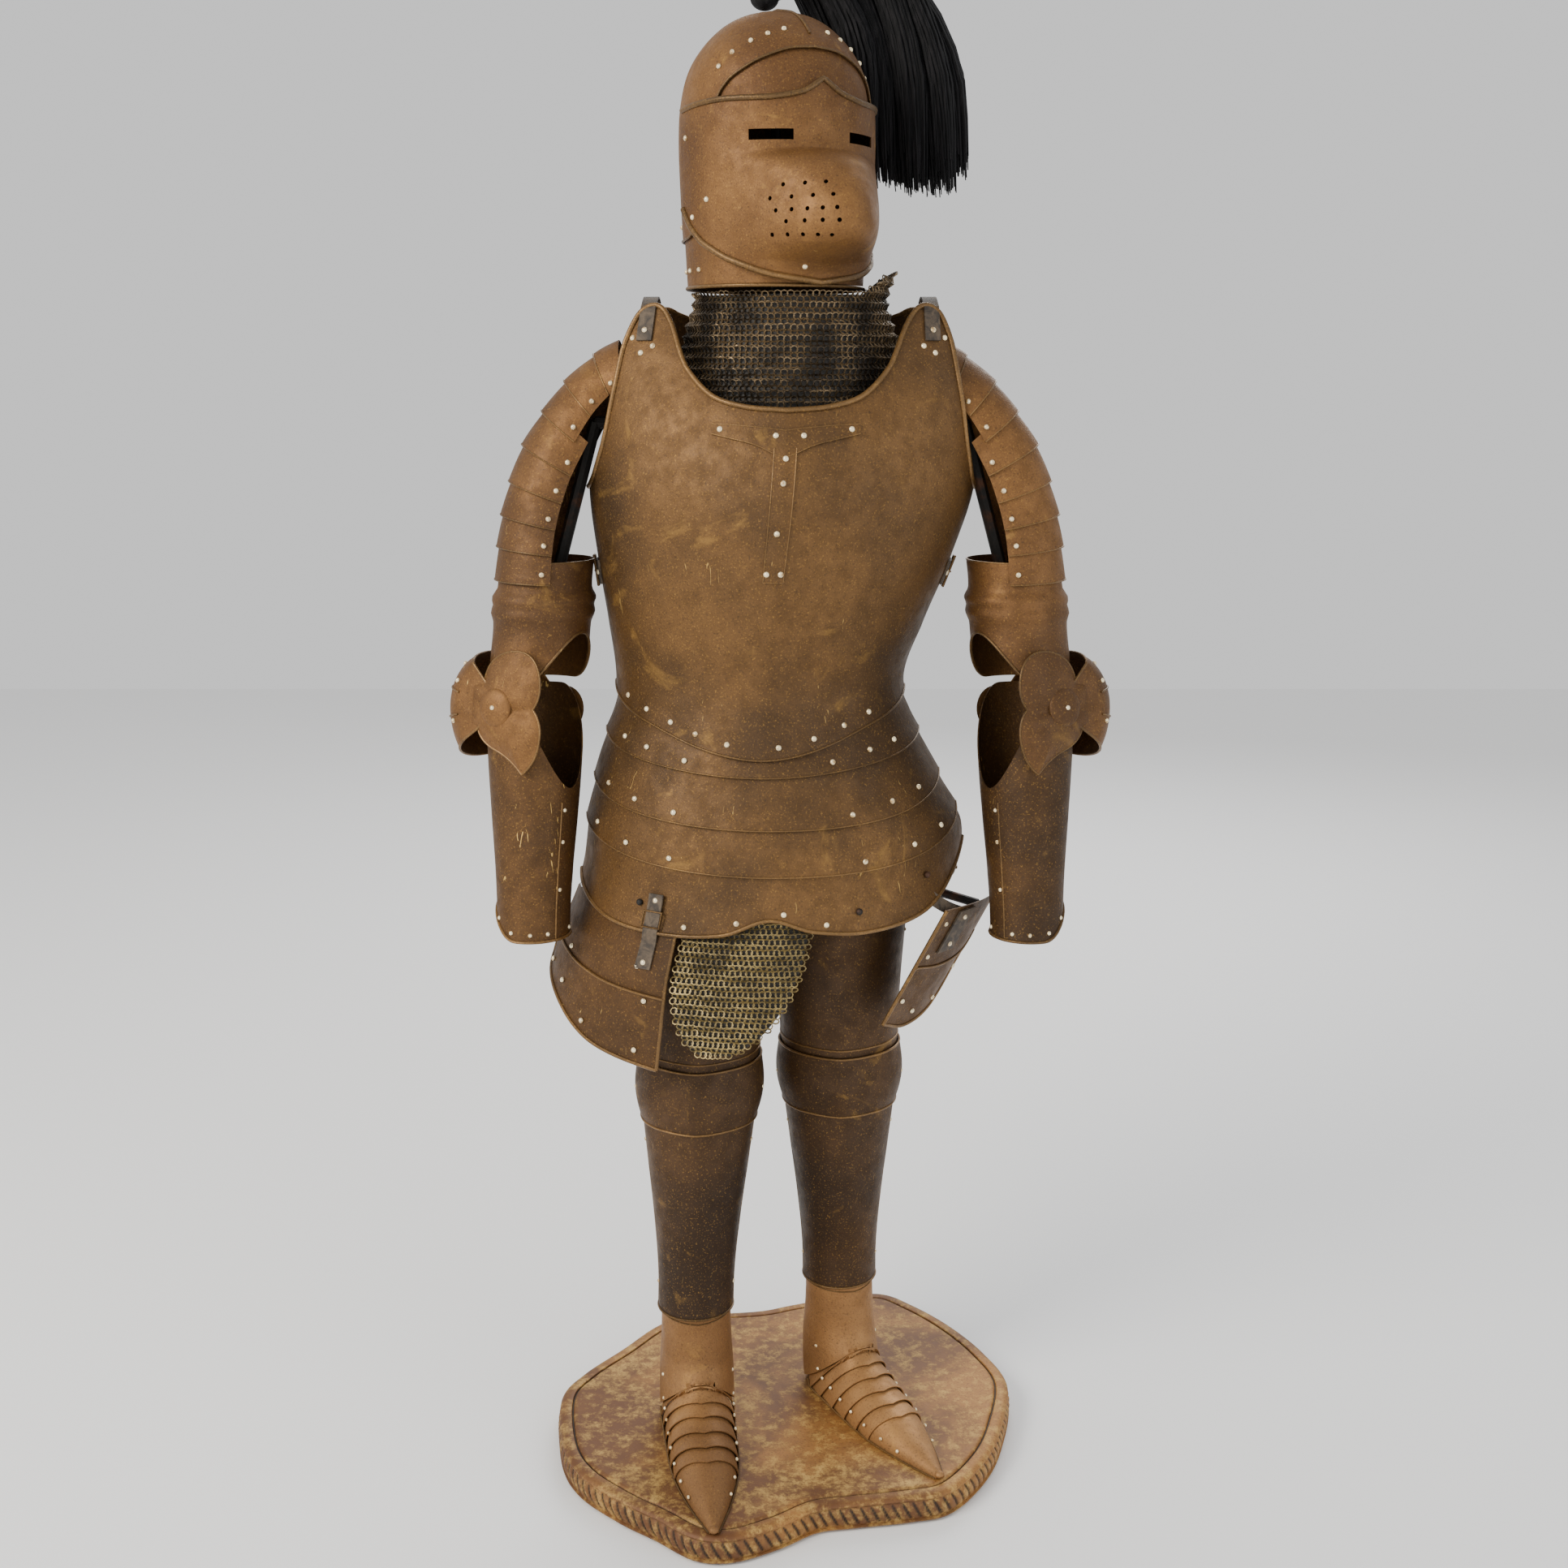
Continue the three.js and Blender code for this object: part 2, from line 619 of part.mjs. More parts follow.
// The Y-shaped strap down the keel: a stem with two wings under the neck
function yStrap() {
  const stem = plate(trunk, [-2.6, 0, 3], () => range(1186, 1352, 6), { lift: () => 1.6 + GAP, wall: 1.6, hint: 1 });
  const wing = (sign) => {
    const path = (turn, place) => trunk(turn, 1352 + 0.55 * Math.abs(turn) + place);
    const turns = sign < 0 ? range(-21, 0, 4) : range(0, 21, 4);
    return plate(path, turns, () => [-9, 9], { lift: () => 1.6 + GAP, wall: 1.6, hint: 1 });
  };
  return joined([stem, wing(-1), wing(1)]);
}
add("breast_strap", yStrap(), DARK_STEEL);

// Tassets and brayette

const underFauld = -(WALL + TUCK + GAP);
const tassetTop = (turn) => mix(764, 786, Math.min(1, (turn + 92) / 40));
const tassetTurns = range(-92, -26, 8);
const tassetRows = between(edge(TASSET_HEM, "z"), tassetTop, 4);
add("tasset_right", plate(trunk, tassetTurns, tassetRows, { lift: () => underFauld, hint: 1 }), STEEL);

const strapRows = [706, 742, 748, 754, 800];
const strapLifts = [underFauld, underFauld, -1.4, 0.4, 0].map((lift) => lift + onPlate);
const strapLift = (share) => strapLifts[Math.round(share * (strapRows.length - 1))];
add("tasset_strap_right", band([-36, -33, -30], strapRows, strapLift), STRAP);

const HANGING = { x: 206, y: -130, z: 765, lean: 0.52, sweep: 0.6, bow: 16, deep: 140 };
const HANGING_HEM = [
  { turn: 0, z: 612 },
  { turn: 0.3, z: 596 },
  { turn: 0.7, z: 606 },
  { turn: 1, z: 640 },
];

function hangingTasset(share, z) {
  const out = HANGING.bow * Math.sin(Math.PI * share);
  const x = HANGING.x - HANGING.lean * (HANGING.z - z) + HANGING.sweep * HANGING.deep * share + out;
  return new THREE.Vector3(x, HANGING.y + HANGING.deep * share, z);
}

function hangingPlate(from, to, columns, rows, lift, wall) {
  const surface = (turn, z) => hangingTasset(turn / 100, z);
  const turns = range(from * 100, to * 100, columns);
  return plate(surface, turns, rows, { lift: () => lift, wall, hint: 1 });
}

const hangingRows = (turn) => range(along(HANGING_HEM, "turn", turn / 100).z, HANGING.z - 0.1 * turn, 4);
add("tasset_left", hangingPlate(0, 1, 8, hangingRows, 0, WALL), STEEL);
add("tasset_strap_left", hangingPlate(0.16, 0.34, 2, () => range(702, 758, 2), onPlate, LEATHER), STRAP);

const BRAYETTE = { top: 828, tip: 602, spread: 18, round: 0.3 };
const FLAP_FALLS = [1, 0.97, 0.9, 0.78, 0.6, 0.4, 0.2, 0];

function brayette(share, z) {
  const fall = (BRAYETTE.top - z) / (BRAYETTE.top - BRAYETTE.tip);
  const end = Math.max(0, fall - BRAYETTE.round) / (1 - BRAYETTE.round);
  const spread = BRAYETTE.spread * Math.sqrt(1 - 0.98 * Math.min(1, end) ** 2);
  return trunk(mix(-3, -13, fall) + share * spread, z);
}
const flapRows = () => FLAP_FALLS.map((fall) => mix(BRAYETTE.top, BRAYETTE.tip, fall));
const flap = plate(brayette, range(-1, 1, 8), flapRows, { lift: () => underFauld - 2 * GAP, wall: MAIL, hint: 0.4 });
add("mail_brayette", flap, RINGS);

// Mail collar
const COLLAR = [
  { z: 1382, half: 150, front: 128, back: 96 },
  { z: 1430, half: 142, front: 118, back: 92 },
  { z: 1480, half: 130, front: 108, back: 88 },
  { z: 1518, half: 120, front: 104, back: 92 },
  { z: 1546, half: 128, front: 108, back: 100 },
];
const COLLAR_MIDDLE = { x: 8, y: 0 };
const ROUND = range(-180, 180, 20).slice(0, -1);
const collarSurface = (turn, z) => oval(turn, COLLAR_MIDDLE, along(COLLAR, "z", z));
const COLLAR_TOP = { low: 1516, high: 1546, from: 0.75 };
const collarRise = (turn) => Math.max(0, Math.sin(turn * RAD) - COLLAR_TOP.from) / (1 - COLLAR_TOP.from);
const collarTop = (turn) => mix(COLLAR_TOP.low, COLLAR_TOP.high, collarRise(turn));
const collarRows = (turn) => [1382.2, 1430, 1480, mix(1480, collarTop(turn), 0.6), collarTop(turn)];
add("mail_collar", plate(collarSurface, ROUND, collarRows, { wall: MAIL, closed: true, hint: 1 }), RINGS);

// Arms: the wearer's right arm is modelled, and its mirror image is the left

function bothArms(name, geometry, look) {
  const [head, tail = ""] = name.split("*");
  add(`${head}right${tail}`, geometry, look);
  add(`${head}left${tail}`, mirrored(geometry, ARM_MIRROR), look);
}

const downShoulder = (turn, place) => shoulder(turn, -place);
for (let i = 1; i < SHOULDER.length; i += 1) {
  const reachUp = i === 1 ? 0 : 0.3;
  const lift = (share) => (share < 0.5 || i === 1 ? 1 : 0.8 - TUCK);
  const rows = () => (i === 1 ? [-1, -0.7, 0] : [-i, -(i - 0.3), -(i - 1), -(i - 1 - reachUp)]);
  const front = i <= 3 ? [-88] : [-102, -88];
  const turns = [...front, -76, -54, -34, -16, 0, 16, 34, 54, 76, 102];
  bothArms(`spaudler_*_lame_${i}`, plate(downShoulder, turns, rows, { lift }), STEEL);
}

// A smooth dip in a tube's edge on the inner side of the elbow
function dip(turn, middle, width) {
  const away = Math.abs(((turn - middle + 540) % 360) - 180);
  return away >= width ? 0 : 0.5 + 0.5 * Math.cos((Math.PI * away) / width);
}

const ARM_TURNS = range(-170, 190, 18).slice(0, -1);
const CROOK = 90 - ELBOW.turn;
const cannonFoot = (turn) => 1044 + 66 * dip(turn, CROOK, 80);
const cannonRows = (turn) => {
  const low = cannonFoot(turn);
  return [low, mix(low, 1125, 0.55), 1125, 1133, 1142, 1151, 1163, 1199];
};
bothArms("upper_cannon_*", plate(tube(UPPER_ARM), ARM_TURNS, cannonRows, { closed: true, hint: 0.5 }), STEEL);

const vambraceTop = (turn) => 1034 - 118 * dip(turn, CROOK, 95);
const vambraceFoot = (turn) => 728 + 38 * dip(turn, -110, 90);
const vambraceRows = (turn) => [...range(vambraceFoot(turn), vambraceTop(turn), 5)];
bothArms("vambrace_*", plate(tube(FOREARM), ARM_TURNS, vambraceRows, { closed: true, hint: 0.5 }), STEEL);

// The couter turns with nothing: a cup that is round about the elbow's pivot, a band, and a two-lobed wing in front
function pivotFrame(geometry) {
  // modelled with the pivot along -Y and the cup towards -X, then turned to the elbow's place
  return geometry.rotateX(-ELBOW.tilt * RAD).rotateZ(-ELBOW.turn * RAD).translate(ELBOW.x, ELBOW.y, ELBOW.z);
}

function cupSurface(angle, share) {
  const across = 66 * share;
  const reach = mix(70, ELBOW.reach, Math.sqrt(Math.max(0, 1 - share * share)) ** 1.1);
  const up = angle * RAD;
  return new THREE.Vector3(-reach * Math.cos(up), across, reach * Math.sin(up));
}

function couter() {
  const shell = plate((share, angle) => cupSurface(angle, -share / 100), range(-99, 99, 10), () => range(-38, 44, 5), { hint: 0.5 });
  const wing = new THREE.Shape();
  wing.moveTo(-34, 30);
  wing.quadraticCurveTo(-30, 62, 2, 70);
  wing.quadraticCurveTo(40, 78, 50, 46);
  wing.quadraticCurveTo(58, 20, 44, 2);
  wing.quadraticCurveTo(62, -16, 56, -44);
  wing.quadraticCurveTo(52, -66, 34, -80);
  wing.quadraticCurveTo(16, -62, -8, -54);
  wing.quadraticCurveTo(-34, -46, -40, -28);
  wing.lineTo(-52, -24);
  wing.lineTo(-52, 26);
  const sheet = { depth: 3, bevelEnabled: false, curveSegments: 4 };
  const front = new THREE.ExtrudeGeometry(wing, sheet).rotateX(Math.PI / 2).translate(0, -ELBOW.side, 0);
  const disc = new THREE.CylinderGeometry(20, 26, 8, 20).rotateX(Math.PI).translate(0, -ELBOW.side - 5, 0);
  const ear = new THREE.Shape();
  ear.absarc(0, 0, 30, -Math.PI / 2, Math.PI / 2, false);
  ear.lineTo(-60, 26);
  ear.lineTo(-60, -24);
  const rear = new THREE.ExtrudeGeometry(ear, sheet).rotateX(Math.PI / 2).translate(0, ELBOW.side + 3, 0);
  const cheek = (y) => new THREE.BoxGeometry(32, 6, 48).translate(-66, y, 2);
  const ends = [cheek(-ELBOW.side - 2.4), cheek(ELBOW.side + 2.4)];
  return pivotFrame(joined([shell, front, disc, rear, ...ends]));
}
bothArms("couter_*", couter(), STEEL);

// Helmet

const head = new THREE.Group();
head.position.set(HEAD.x, HEAD.y, 0);
head.rotation.z = HEAD.turn * RAD;
armour.add(head);

const SKULL_SIDE = [12, 26, 40, 52, 60, 65, 70, 78, 92, 110, 130, 155];
const SKULL_TURNS = [-180, ...SKULL_SIDE.map((t) => -t).reverse(), 0, ...SKULL_SIDE];
const SKULL_LAP = 0.35;
const skullHem = faceEdge(SKULL_HEM);
const skullRows = (turn) => [skullHem(turn), ...range(skullHem(turn) + SKULL_LAP, 6.3, 4), 7, 7.6, 8];
const skull = plate(helm, SKULL_TURNS, skullRows, { closed: true, hint: 0.005 });
add("helmet_skull", skull, STEEL, head);

const BROW = { low: 3.4, turn: 65 };
const browTurns = SKULL_TURNS.filter((turn) => Math.abs(turn) <= BROW.turn);
const browRows = (turn) => [BROW.low, mix(BROW.low, skullHem(turn), 0.5), skullHem(turn), skullHem(turn) + SKULL_LAP];
const brow = plate(helm, browTurns, browRows, { lift: () => -TUCK });
add("helmet_brow", brow, STEEL, head);

const neckRows = () => [0, 0.6, 1.1, 1.1 + SKULL_LAP];
const neckPlate = plate(helm, SKULL_TURNS, neckRows, { lift: () => -TUCK, closed: true });
add("helmet_neck_plate", neckPlate, STEEL, head);

const visorSide = [7, 14, 22, 32, 45, 58, 70, 80, 89, 97];
const visorTurns = [...visorSide.map((t) => -t).reverse(), 0, ...visorSide];
const visorLift = (share, turn) => WALL + 0.7 + 3.6 * Math.max(0, 1 - Math.abs(turn) / 88) ** 0.6;
const visorShell = plate(face, visorTurns, between(faceEdge(VISOR_HEM), faceEdge(VISOR_TOP), 8), { lift: visorLift });

function faceCutter(turn, station, shape) {
  const point = face(turn, station);
  const normal = normalAt(face, turn, station, 0.5, 0.02);
  return aimed(shape, point.clone().addScaledVector(normal, -16), point.clone().addScaledVector(normal, 22));
}

const EYE = { turn: 30, at: 2.93, wide: 52, deep: 60, high: 12, yaw: 26 };

function eyeSlot(sign) {
  const place = face(sign * EYE.turn, EYE.at);
  const slot = new THREE.BoxGeometry(EYE.wide, EYE.deep, EYE.high);
  slot.rotateZ(sign * EYE.yaw * RAD);
  return slot.translate(place.x, place.y, place.z);
}

// Breath holes in rows on the right side of the beak: station, first and last turn, and count
const BREATHS = [
  { at: 1.95, first: -30, last: -12, count: 3 },
  { at: 1.72, first: -36, last: -10, count: 4 },
  { at: 1.5, first: -34, last: -9, count: 5 },
  { at: 1.3, first: -30, last: -8, count: 4 },
  { at: 1.08, first: -35, last: -10, count: 5 },
];
const BREATH_RADIUS = 2.6;
const breathCutters = BREATHS.flatMap((row) =>
  range(row.first, row.last, row.count - 1).map((turn) =>
    faceCutter(turn, row.at, new THREE.CylinderGeometry(BREATH_RADIUS, BREATH_RADIUS, 38, 6)),
  ),
);
add("helmet_visor", cut(visorShell, [eyeSlot(-1), eyeSlot(1), ...breathCutters]), STEEL, head);

// Plume socket on the back of the crown, and the plume's locks round a head
const socketSpot = helm(160, 6.5);
const socketOut = normalAt(helm, 160, 6.5, 0.5, 0.02);
const socketLow = socketSpot.clone().addScaledVector(socketOut, 6);
const socketHigh = socketLow.clone().add(new THREE.Vector3(0, 6, 26));
add("plume_socket", stub(socketLow, socketHigh, 7), DARK_STEEL, head);

// A lock: a solid tube of changing radius along a curve
function lock(points, radii, steps = 6, sides = 5) {
  const curve = new THREE.CatmullRomCurve3(points, false, "centripetal");
  const frames = curve.computeFrenetFrames(steps, false);
  const places = [];
  for (let i = 0; i <= steps; i += 1) {
    const middle = curve.getPointAt(i / steps);
    const row = along(radii, "at", i / steps);
    for (let j = 0; j < sides; j += 1) {
      const angle = (2 * Math.PI * j) / sides;
      const side = frames.normals[i].clone().multiplyScalar(row.radius * Math.cos(angle));
      places.push(side.addScaledVector(frames.binormals[i], row.radius * Math.sin(angle)).add(middle));
    }
  }
  const faces = [];
  for (let i = 0; i < steps; i += 1) {
    for (let j = 0; j < sides; j += 1) {
      const k = (j + 1) % sides;
      const [a, b] = [i * sides + j, i * sides + k];
      faces.push([a, b, b + sides], [a, b + sides, a + sides]);
    }
  }
  for (let j = 1; j < sides - 1; j += 1) {
    faces.push([0, j + 1, j]);
    faces.push([steps * sides, steps * sides + j, steps * sides + j + 1]);
  }
  return geometryOf(places, faces);
}

const LOCK_RADII = [
  { at: 0, radius: 11 },
  { at: 0.3, radius: 19 },
  { at: 0.7, radius: 18 },
  { at: 1, radius: 5 },
];
// Each lock: the top of its arch and its tip
const LOCKS = [
  { top: [10, 96, 1948], tip: [96, 118, 1690] },
  { top: [46, 84, 1962], tip: [128, 100, 1660] },
  { top: [88, 76, 1962], tip: [168, 96, 1650] },
  { top: [118, 84, 1940], tip: [206, 104, 1652] },
  { top: [60, 124, 1950], tip: [150, 146, 1668] },
  { top: [104, 122, 1936], tip: [192, 140, 1664] },
  { top: [20, 56, 1936], tip: [104, 84, 1712] },
  { top: [136, 104, 1916], tip: [224, 116, 1672] },
];

head.updateMatrixWorld(true);
const plumeRoot = head.localToWorld(socketHigh.clone()).add(new THREE.Vector3(0, 0, 7 + 14 - 0.2));

function plume() {
  const crown = new THREE.SphereGeometry(14, 8, 6).translate(plumeRoot.x, plumeRoot.y, plumeRoot.z);
  const locks = LOCKS.map(({ top, tip }) => {
    const peak = new THREE.Vector3(...top);
    const end = new THREE.Vector3(...tip);
    const rise = plumeRoot.clone().lerp(peak, 0.5).add(new THREE.Vector3(-8, 0, 14));
    const fall = peak.clone().lerp(end, 0.5).add(new THREE.Vector3(24, 6, 20));
    return lock([plumeRoot.clone(), rise, peak, fall, end], LOCK_RADII);
  });
  return filled(joined([crown, ...locks]));
}
add("plume", plume(), FEATHER);

// Hidden stand: posts in the legs, hip bar, spine, shoulder bar, arm rods, neck post and side arms to the plates

function seat(surface, turn, place, inwards, hint) {
  return surface(turn, place).addScaledVector(normalAt(surface, turn, place, 0.5, hint), -inwards - STUB - GAP);
}

function stand() {
  const at = (x, y, z) => new THREE.Vector3(x, y, z);
  const parts = [];
  const hipHigh = 900;
  const spineLow = at(-18, 0, hipHigh);
  const yoke = at(4, 14, 1368);
  for (const [place, hip] of [[RIGHT_FOOT, RIGHT_HIP], [LEFT_FOOT, LEFT_HIP]]) {
    const foot = at(place.x, place.y, PLINTH_HEIGHT + GAP);
    parts.push(rod(foot, at(place.x, place.y, PLINTH_HEIGHT + 7), 22, 16));
    parts.push(rod(foot, at(place.x, place.y, 230), POST), stub(at(place.x, place.y, 230), at(hip.x, hip.y, hipHigh), POST));
    const surface = leg(place, hip);
    for (const z of [420, 640]) {
      const climb = (z - 230) / (hipHigh - 230);
      const middle = at(mix(place.x, hip.x, climb), mix(place.y, hip.y, climb), z);
      for (const turn of [-90, 90]) parts.push(stub(middle, seat(surface, turn, z, WALL, 1), STUB));
    }
    parts.push(stub(at(hip.x, hip.y, hipHigh), spineLow, POST));
  }
  parts.push(stub(spineLow, yoke, POST));
  for (const turn of [25, -25, 155, -155]) {
    parts.push(stub(at(-6, 6, 1190), seat(trunk, turn, 1190, WALL + 0.6, 1), STUB));
  }
  const crown = at(HEAD.x, HEAD.y, 1852 - WALL - 0.7 - STUB);
  parts.push(stub(yoke, at(HEAD.x, HEAD.y, 1560), POST), stub(at(HEAD.x, HEAD.y, 1560), crown, STUB));
  for (const sign of [-1, 1]) {
    const side = (x) => (sign < 0 ? x : 2 * ARM_MIRROR - x);
    const bend = at(side(-236), -20, 1368);
    const low = at(side(-305), -30, 1118);
    parts.push(stub(yoke, bend, POST), stub(bend, low, POST));
    for (const turn of [0, 180]) {
      const end = seat(tube(UPPER_ARM), turn, 1118, WALL, 0.5);
      parts.push(stub(low, at(side(end.x), end.y, end.z), STUB));
    }
  }
  for (const turn of [-90, 90]) {
    parts.push(stub(yoke, at(COLLAR_MIDDLE.x + 148.5 * Math.sign(turn), 0, 1381.8 - STUB), STUB));
  }
  const surface = (turn, z) => hangingTasset(turn / 100, z);
  parts.push(stub(at(LEFT_HIP.x, LEFT_HIP.y, 790), seat(surface, 60, 745, WALL, 1), STUB));
  return joined(parts);
}
add("inner_frame", stand(), IRON);

export default armour;
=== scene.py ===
"""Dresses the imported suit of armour: smooth plates, rolled edges, rivets, mail, straps, plume and plinth.

The tables are in millimetres and every mesh is in metres. Turns are degrees round +Z from the front:
0 is the front, -90 the wearer's right side and 90 the left.
"""

from __future__ import annotations

import json
import logging
import math
import random
from dataclasses import dataclass
from enum import Enum
from functools import partial
from typing import Callable, Sequence

import bmesh
import bpy
from mathutils import Matrix, Vector, noise

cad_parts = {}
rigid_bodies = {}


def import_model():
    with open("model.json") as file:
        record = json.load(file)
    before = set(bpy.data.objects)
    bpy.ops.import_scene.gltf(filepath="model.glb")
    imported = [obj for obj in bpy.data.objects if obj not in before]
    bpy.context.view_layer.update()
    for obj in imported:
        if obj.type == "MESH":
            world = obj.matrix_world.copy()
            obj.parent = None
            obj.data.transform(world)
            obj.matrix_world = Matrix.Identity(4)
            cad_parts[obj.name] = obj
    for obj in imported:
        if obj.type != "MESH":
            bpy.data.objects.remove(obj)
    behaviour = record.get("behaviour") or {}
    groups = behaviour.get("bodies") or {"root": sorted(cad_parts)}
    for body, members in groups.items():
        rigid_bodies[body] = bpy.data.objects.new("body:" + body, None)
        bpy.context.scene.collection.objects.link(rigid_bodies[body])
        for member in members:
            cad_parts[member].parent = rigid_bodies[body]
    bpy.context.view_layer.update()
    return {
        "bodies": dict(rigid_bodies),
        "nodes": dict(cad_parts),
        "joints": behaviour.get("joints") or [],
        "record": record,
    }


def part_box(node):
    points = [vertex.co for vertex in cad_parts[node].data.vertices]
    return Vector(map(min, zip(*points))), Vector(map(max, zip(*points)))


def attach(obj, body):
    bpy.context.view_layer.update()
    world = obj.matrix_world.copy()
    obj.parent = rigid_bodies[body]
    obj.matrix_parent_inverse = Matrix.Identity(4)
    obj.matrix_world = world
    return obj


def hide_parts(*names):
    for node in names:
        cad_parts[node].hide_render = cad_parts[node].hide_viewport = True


LOG = logging.getLogger("armour")
MM = 0.001
# Edges sharper than this aren't shaded smooth, and points closer than the weld become one
SHARP = math.radians(38)
WELD = 2e-5
# How far along the stations a slope is looked up
FINE = 0.02
ROUND = (-180, 180)
Surface = Callable[[float, float], Vector]
Edge = Callable[[float], float]
Lift = Callable[[float, float], float]
Colour = tuple[float, float, float]


class Slot(Enum):
    """Material slots of the record."""

    STEEL = "steel"
    PLINTH = "plinth"
    MAIL = "mail"
    STRAP = "strap"
    PLUME = "plume"
    IRON = "iron"


class Body(Enum):
    """Bodies that the pieces ride on."""

    FIGURE = "figure"
    VISOR = "visor"
    RIGHT_FOREARM = "forearm_right"
    LEFT_FOREARM = "forearm_left"


# Shader building


def linear(red: int, green: int, blue: int) -> Colour:
    """Turns a display colour into the linear values that a shader takes.

    Args:
        red: Red from 0 to 255.
        green: Green from 0 to 255.
        blue: Blue from 0 to 255.

    Returns:
        The three linear values.
    """
    parts = []
    for value in (red, green, blue):
        share = value / 255
        parts.append(share / 12.92 if share <= 0.04045 else ((share + 0.055) / 1.055) ** 2.4)
    return (parts[0], parts[1], parts[2])


class Link:
    """A node's output socket, with arithmetic that adds Math nodes."""

    def __init__(self, shader: Shader, socket: bpy.types.NodeSocket) -> None:
        """Keeps the socket and the shader that it belongs to."""
        self.shader = shader
        self.socket = socket

    def _math(self, operation: str, first: Link | float, second: Link | float) -> Link:
        """Adds one Math node.

        Args:
            operation: The node's operation.
            first: First value or link.
            second: Second value or link.

        Returns:
            The link of its result.
        """
        return self.shader.node("ShaderNodeMath", {"operation": operation}, {0: first, 1: second})

    def __add__(self, other: Link | float) -> Link:
        """Adds."""
        return self._math("ADD", self, other)

    def __mul__(self, other: Link | float) -> Link:
        """Multiplies."""
        return self._math("MULTIPLY", self, other)

    def between(self, low: float, high: float) -> Link:
        """A smooth step from 0 at low to 1 at high.

        Args:
            low: Value that gives 0.
            high: Value that gives 1.

        Returns:
            The link of the step.
        """
        settings = {"interpolation_type": "SMOOTHSTEP"}
        return self.shader.node("ShaderNodeMapRange", settings, {0: self, 1: low, 2: high, 3: 0.0, 4: 1.0})


class Shader:
    """One material's nodes."""

    def __init__(self, name: str) -> None:
        """Starts a material of that name with a Principled shader and Object coordinates."""
        self.material = bpy.data.materials.new(name)
        self.material.use_nodes = True
        self.tree = self.material.node_tree
        self.surface = self.tree.nodes["Principled BSDF"]
        coordinates = self.tree.nodes.new("ShaderNodeTexCoord")
        self.place = Link(self, coordinates.outputs["Object"])

    def node(self, kind: str, settings: dict, inputs: dict, output: int | str = 0) -> Link:
        """Adds a node: its settings first, then the values or links of its sockets.

        Args:
            kind: The node's type.
            settings: Attributes of the node.
            inputs: Socket name or number to value or link.
            output: The output socket wanted.

        Returns:
            The link of that output.
        """
        made = self.tree.nodes.new(kind)
        for name, value in settings.items():
            setattr(made, name, value)
        for name, value in inputs.items():
            self.feed(made.inputs[name], value)
        return Link(self, made.outputs[output])

    def feed(self, socket: bpy.types.NodeSocket, value: object) -> None:
        """Links a socket, or sets its value."""
        if isinstance(value, Link):
            self.tree.links.new(value.socket, socket)
        elif isinstance(value, tuple) and len(value) == 3 and socket.type == "RGBA":
            socket.default_value = (*value, 1)
        else:
            socket.default_value = value

    def set(self, **values: object) -> None:
        """Sets sockets of the Principled shader, with _ for a space in their names."""
        for name, value in values.items():
            self.feed(self.surface.inputs[name.replace("_", " ")], value)

    def stretched(self, scale: Colour, turn: Colour = (0, 0, 0)) -> Link:
        """Object coordinates turned and scaled by a Mapping node.

        Args:
            scale: Scale along each axis.
            turn: Turn about each axis in radians.

        Returns:
            The mapped coordinates.
        """
        return self.node("ShaderNodeMapping", {}, {"Vector": self.place, "Rotation": turn, "Scale": scale})

    def noise(
        self, scale: float, detail: float = 2, rough: float = 0.5, bend: float = 0, at: Link | None = None
    ) -> Link:
        """A noise texture.

        Args:
            scale: Cells per metre.
            detail: Octaves.
            rough: How strong the fine octaves are.
            bend: Distortion.
            at: Coordinates, or the object's own.

        Returns:
            The noise value.
        """
        inputs = {
            "Vector": at or self.place,
            "Scale": scale,
            "Detail": detail,
            "Roughness": rough,
            "Distortion": bend,
        }
        return self.node("ShaderNodeTexNoise", {}, inputs, "Fac")

    def cells(self, scale: float) -> Link:
        """The distance to the nearest of a set of scattered points."""
        return self.node("ShaderNodeTexVoronoi", {}, {"Vector": self.place, "Scale": scale}, "Distance")

    def mix(self, share: Link | float, first: Link | Colour, second: Link | Colour) -> Link:
        """Mixes two colours.

        Args:
            share: 0 for the first and 1 for the second.
            first: First colour.
            second: Second colour.

        Returns:
            The mixed colour.
        """
        made = self.tree.nodes.new("ShaderNodeMix")
        made.data_type = "RGBA"
        self.feed(made.inputs[0], share)
        self.feed(made.inputs[6], first)
        self.feed(made.inputs[7], second)
        return Link(self, made.outputs[2])

    def bump(self, height: Link, strength: float, distance: float) -> None:
        """Feeds a height through a Bump node into Normal."""
        inputs = {"Height": height, "Strength": strength, "Distance": distance}
        self.set(Normal=self.node("ShaderNodeBump", {}, inputs))


# Finishes


class Finish:
    """A finish that makes its material once."""

    made: dict[str, bpy.types.Material] = {}
    name: str
    slot: Slot

    def material(self) -> bpy.types.Material:
        """The finish's material, made on first use."""
        if self.name not in Finish.made:
            shader = Shader(self.name)
            self.paint(shader)
            Finish.made[self.name] = shader.material
        return Finish.made[self.name]

    def paint(self, shader: Shader) -> None:
        """Adds the finish's nodes. Each finish has its own."""
        raise NotImplementedError


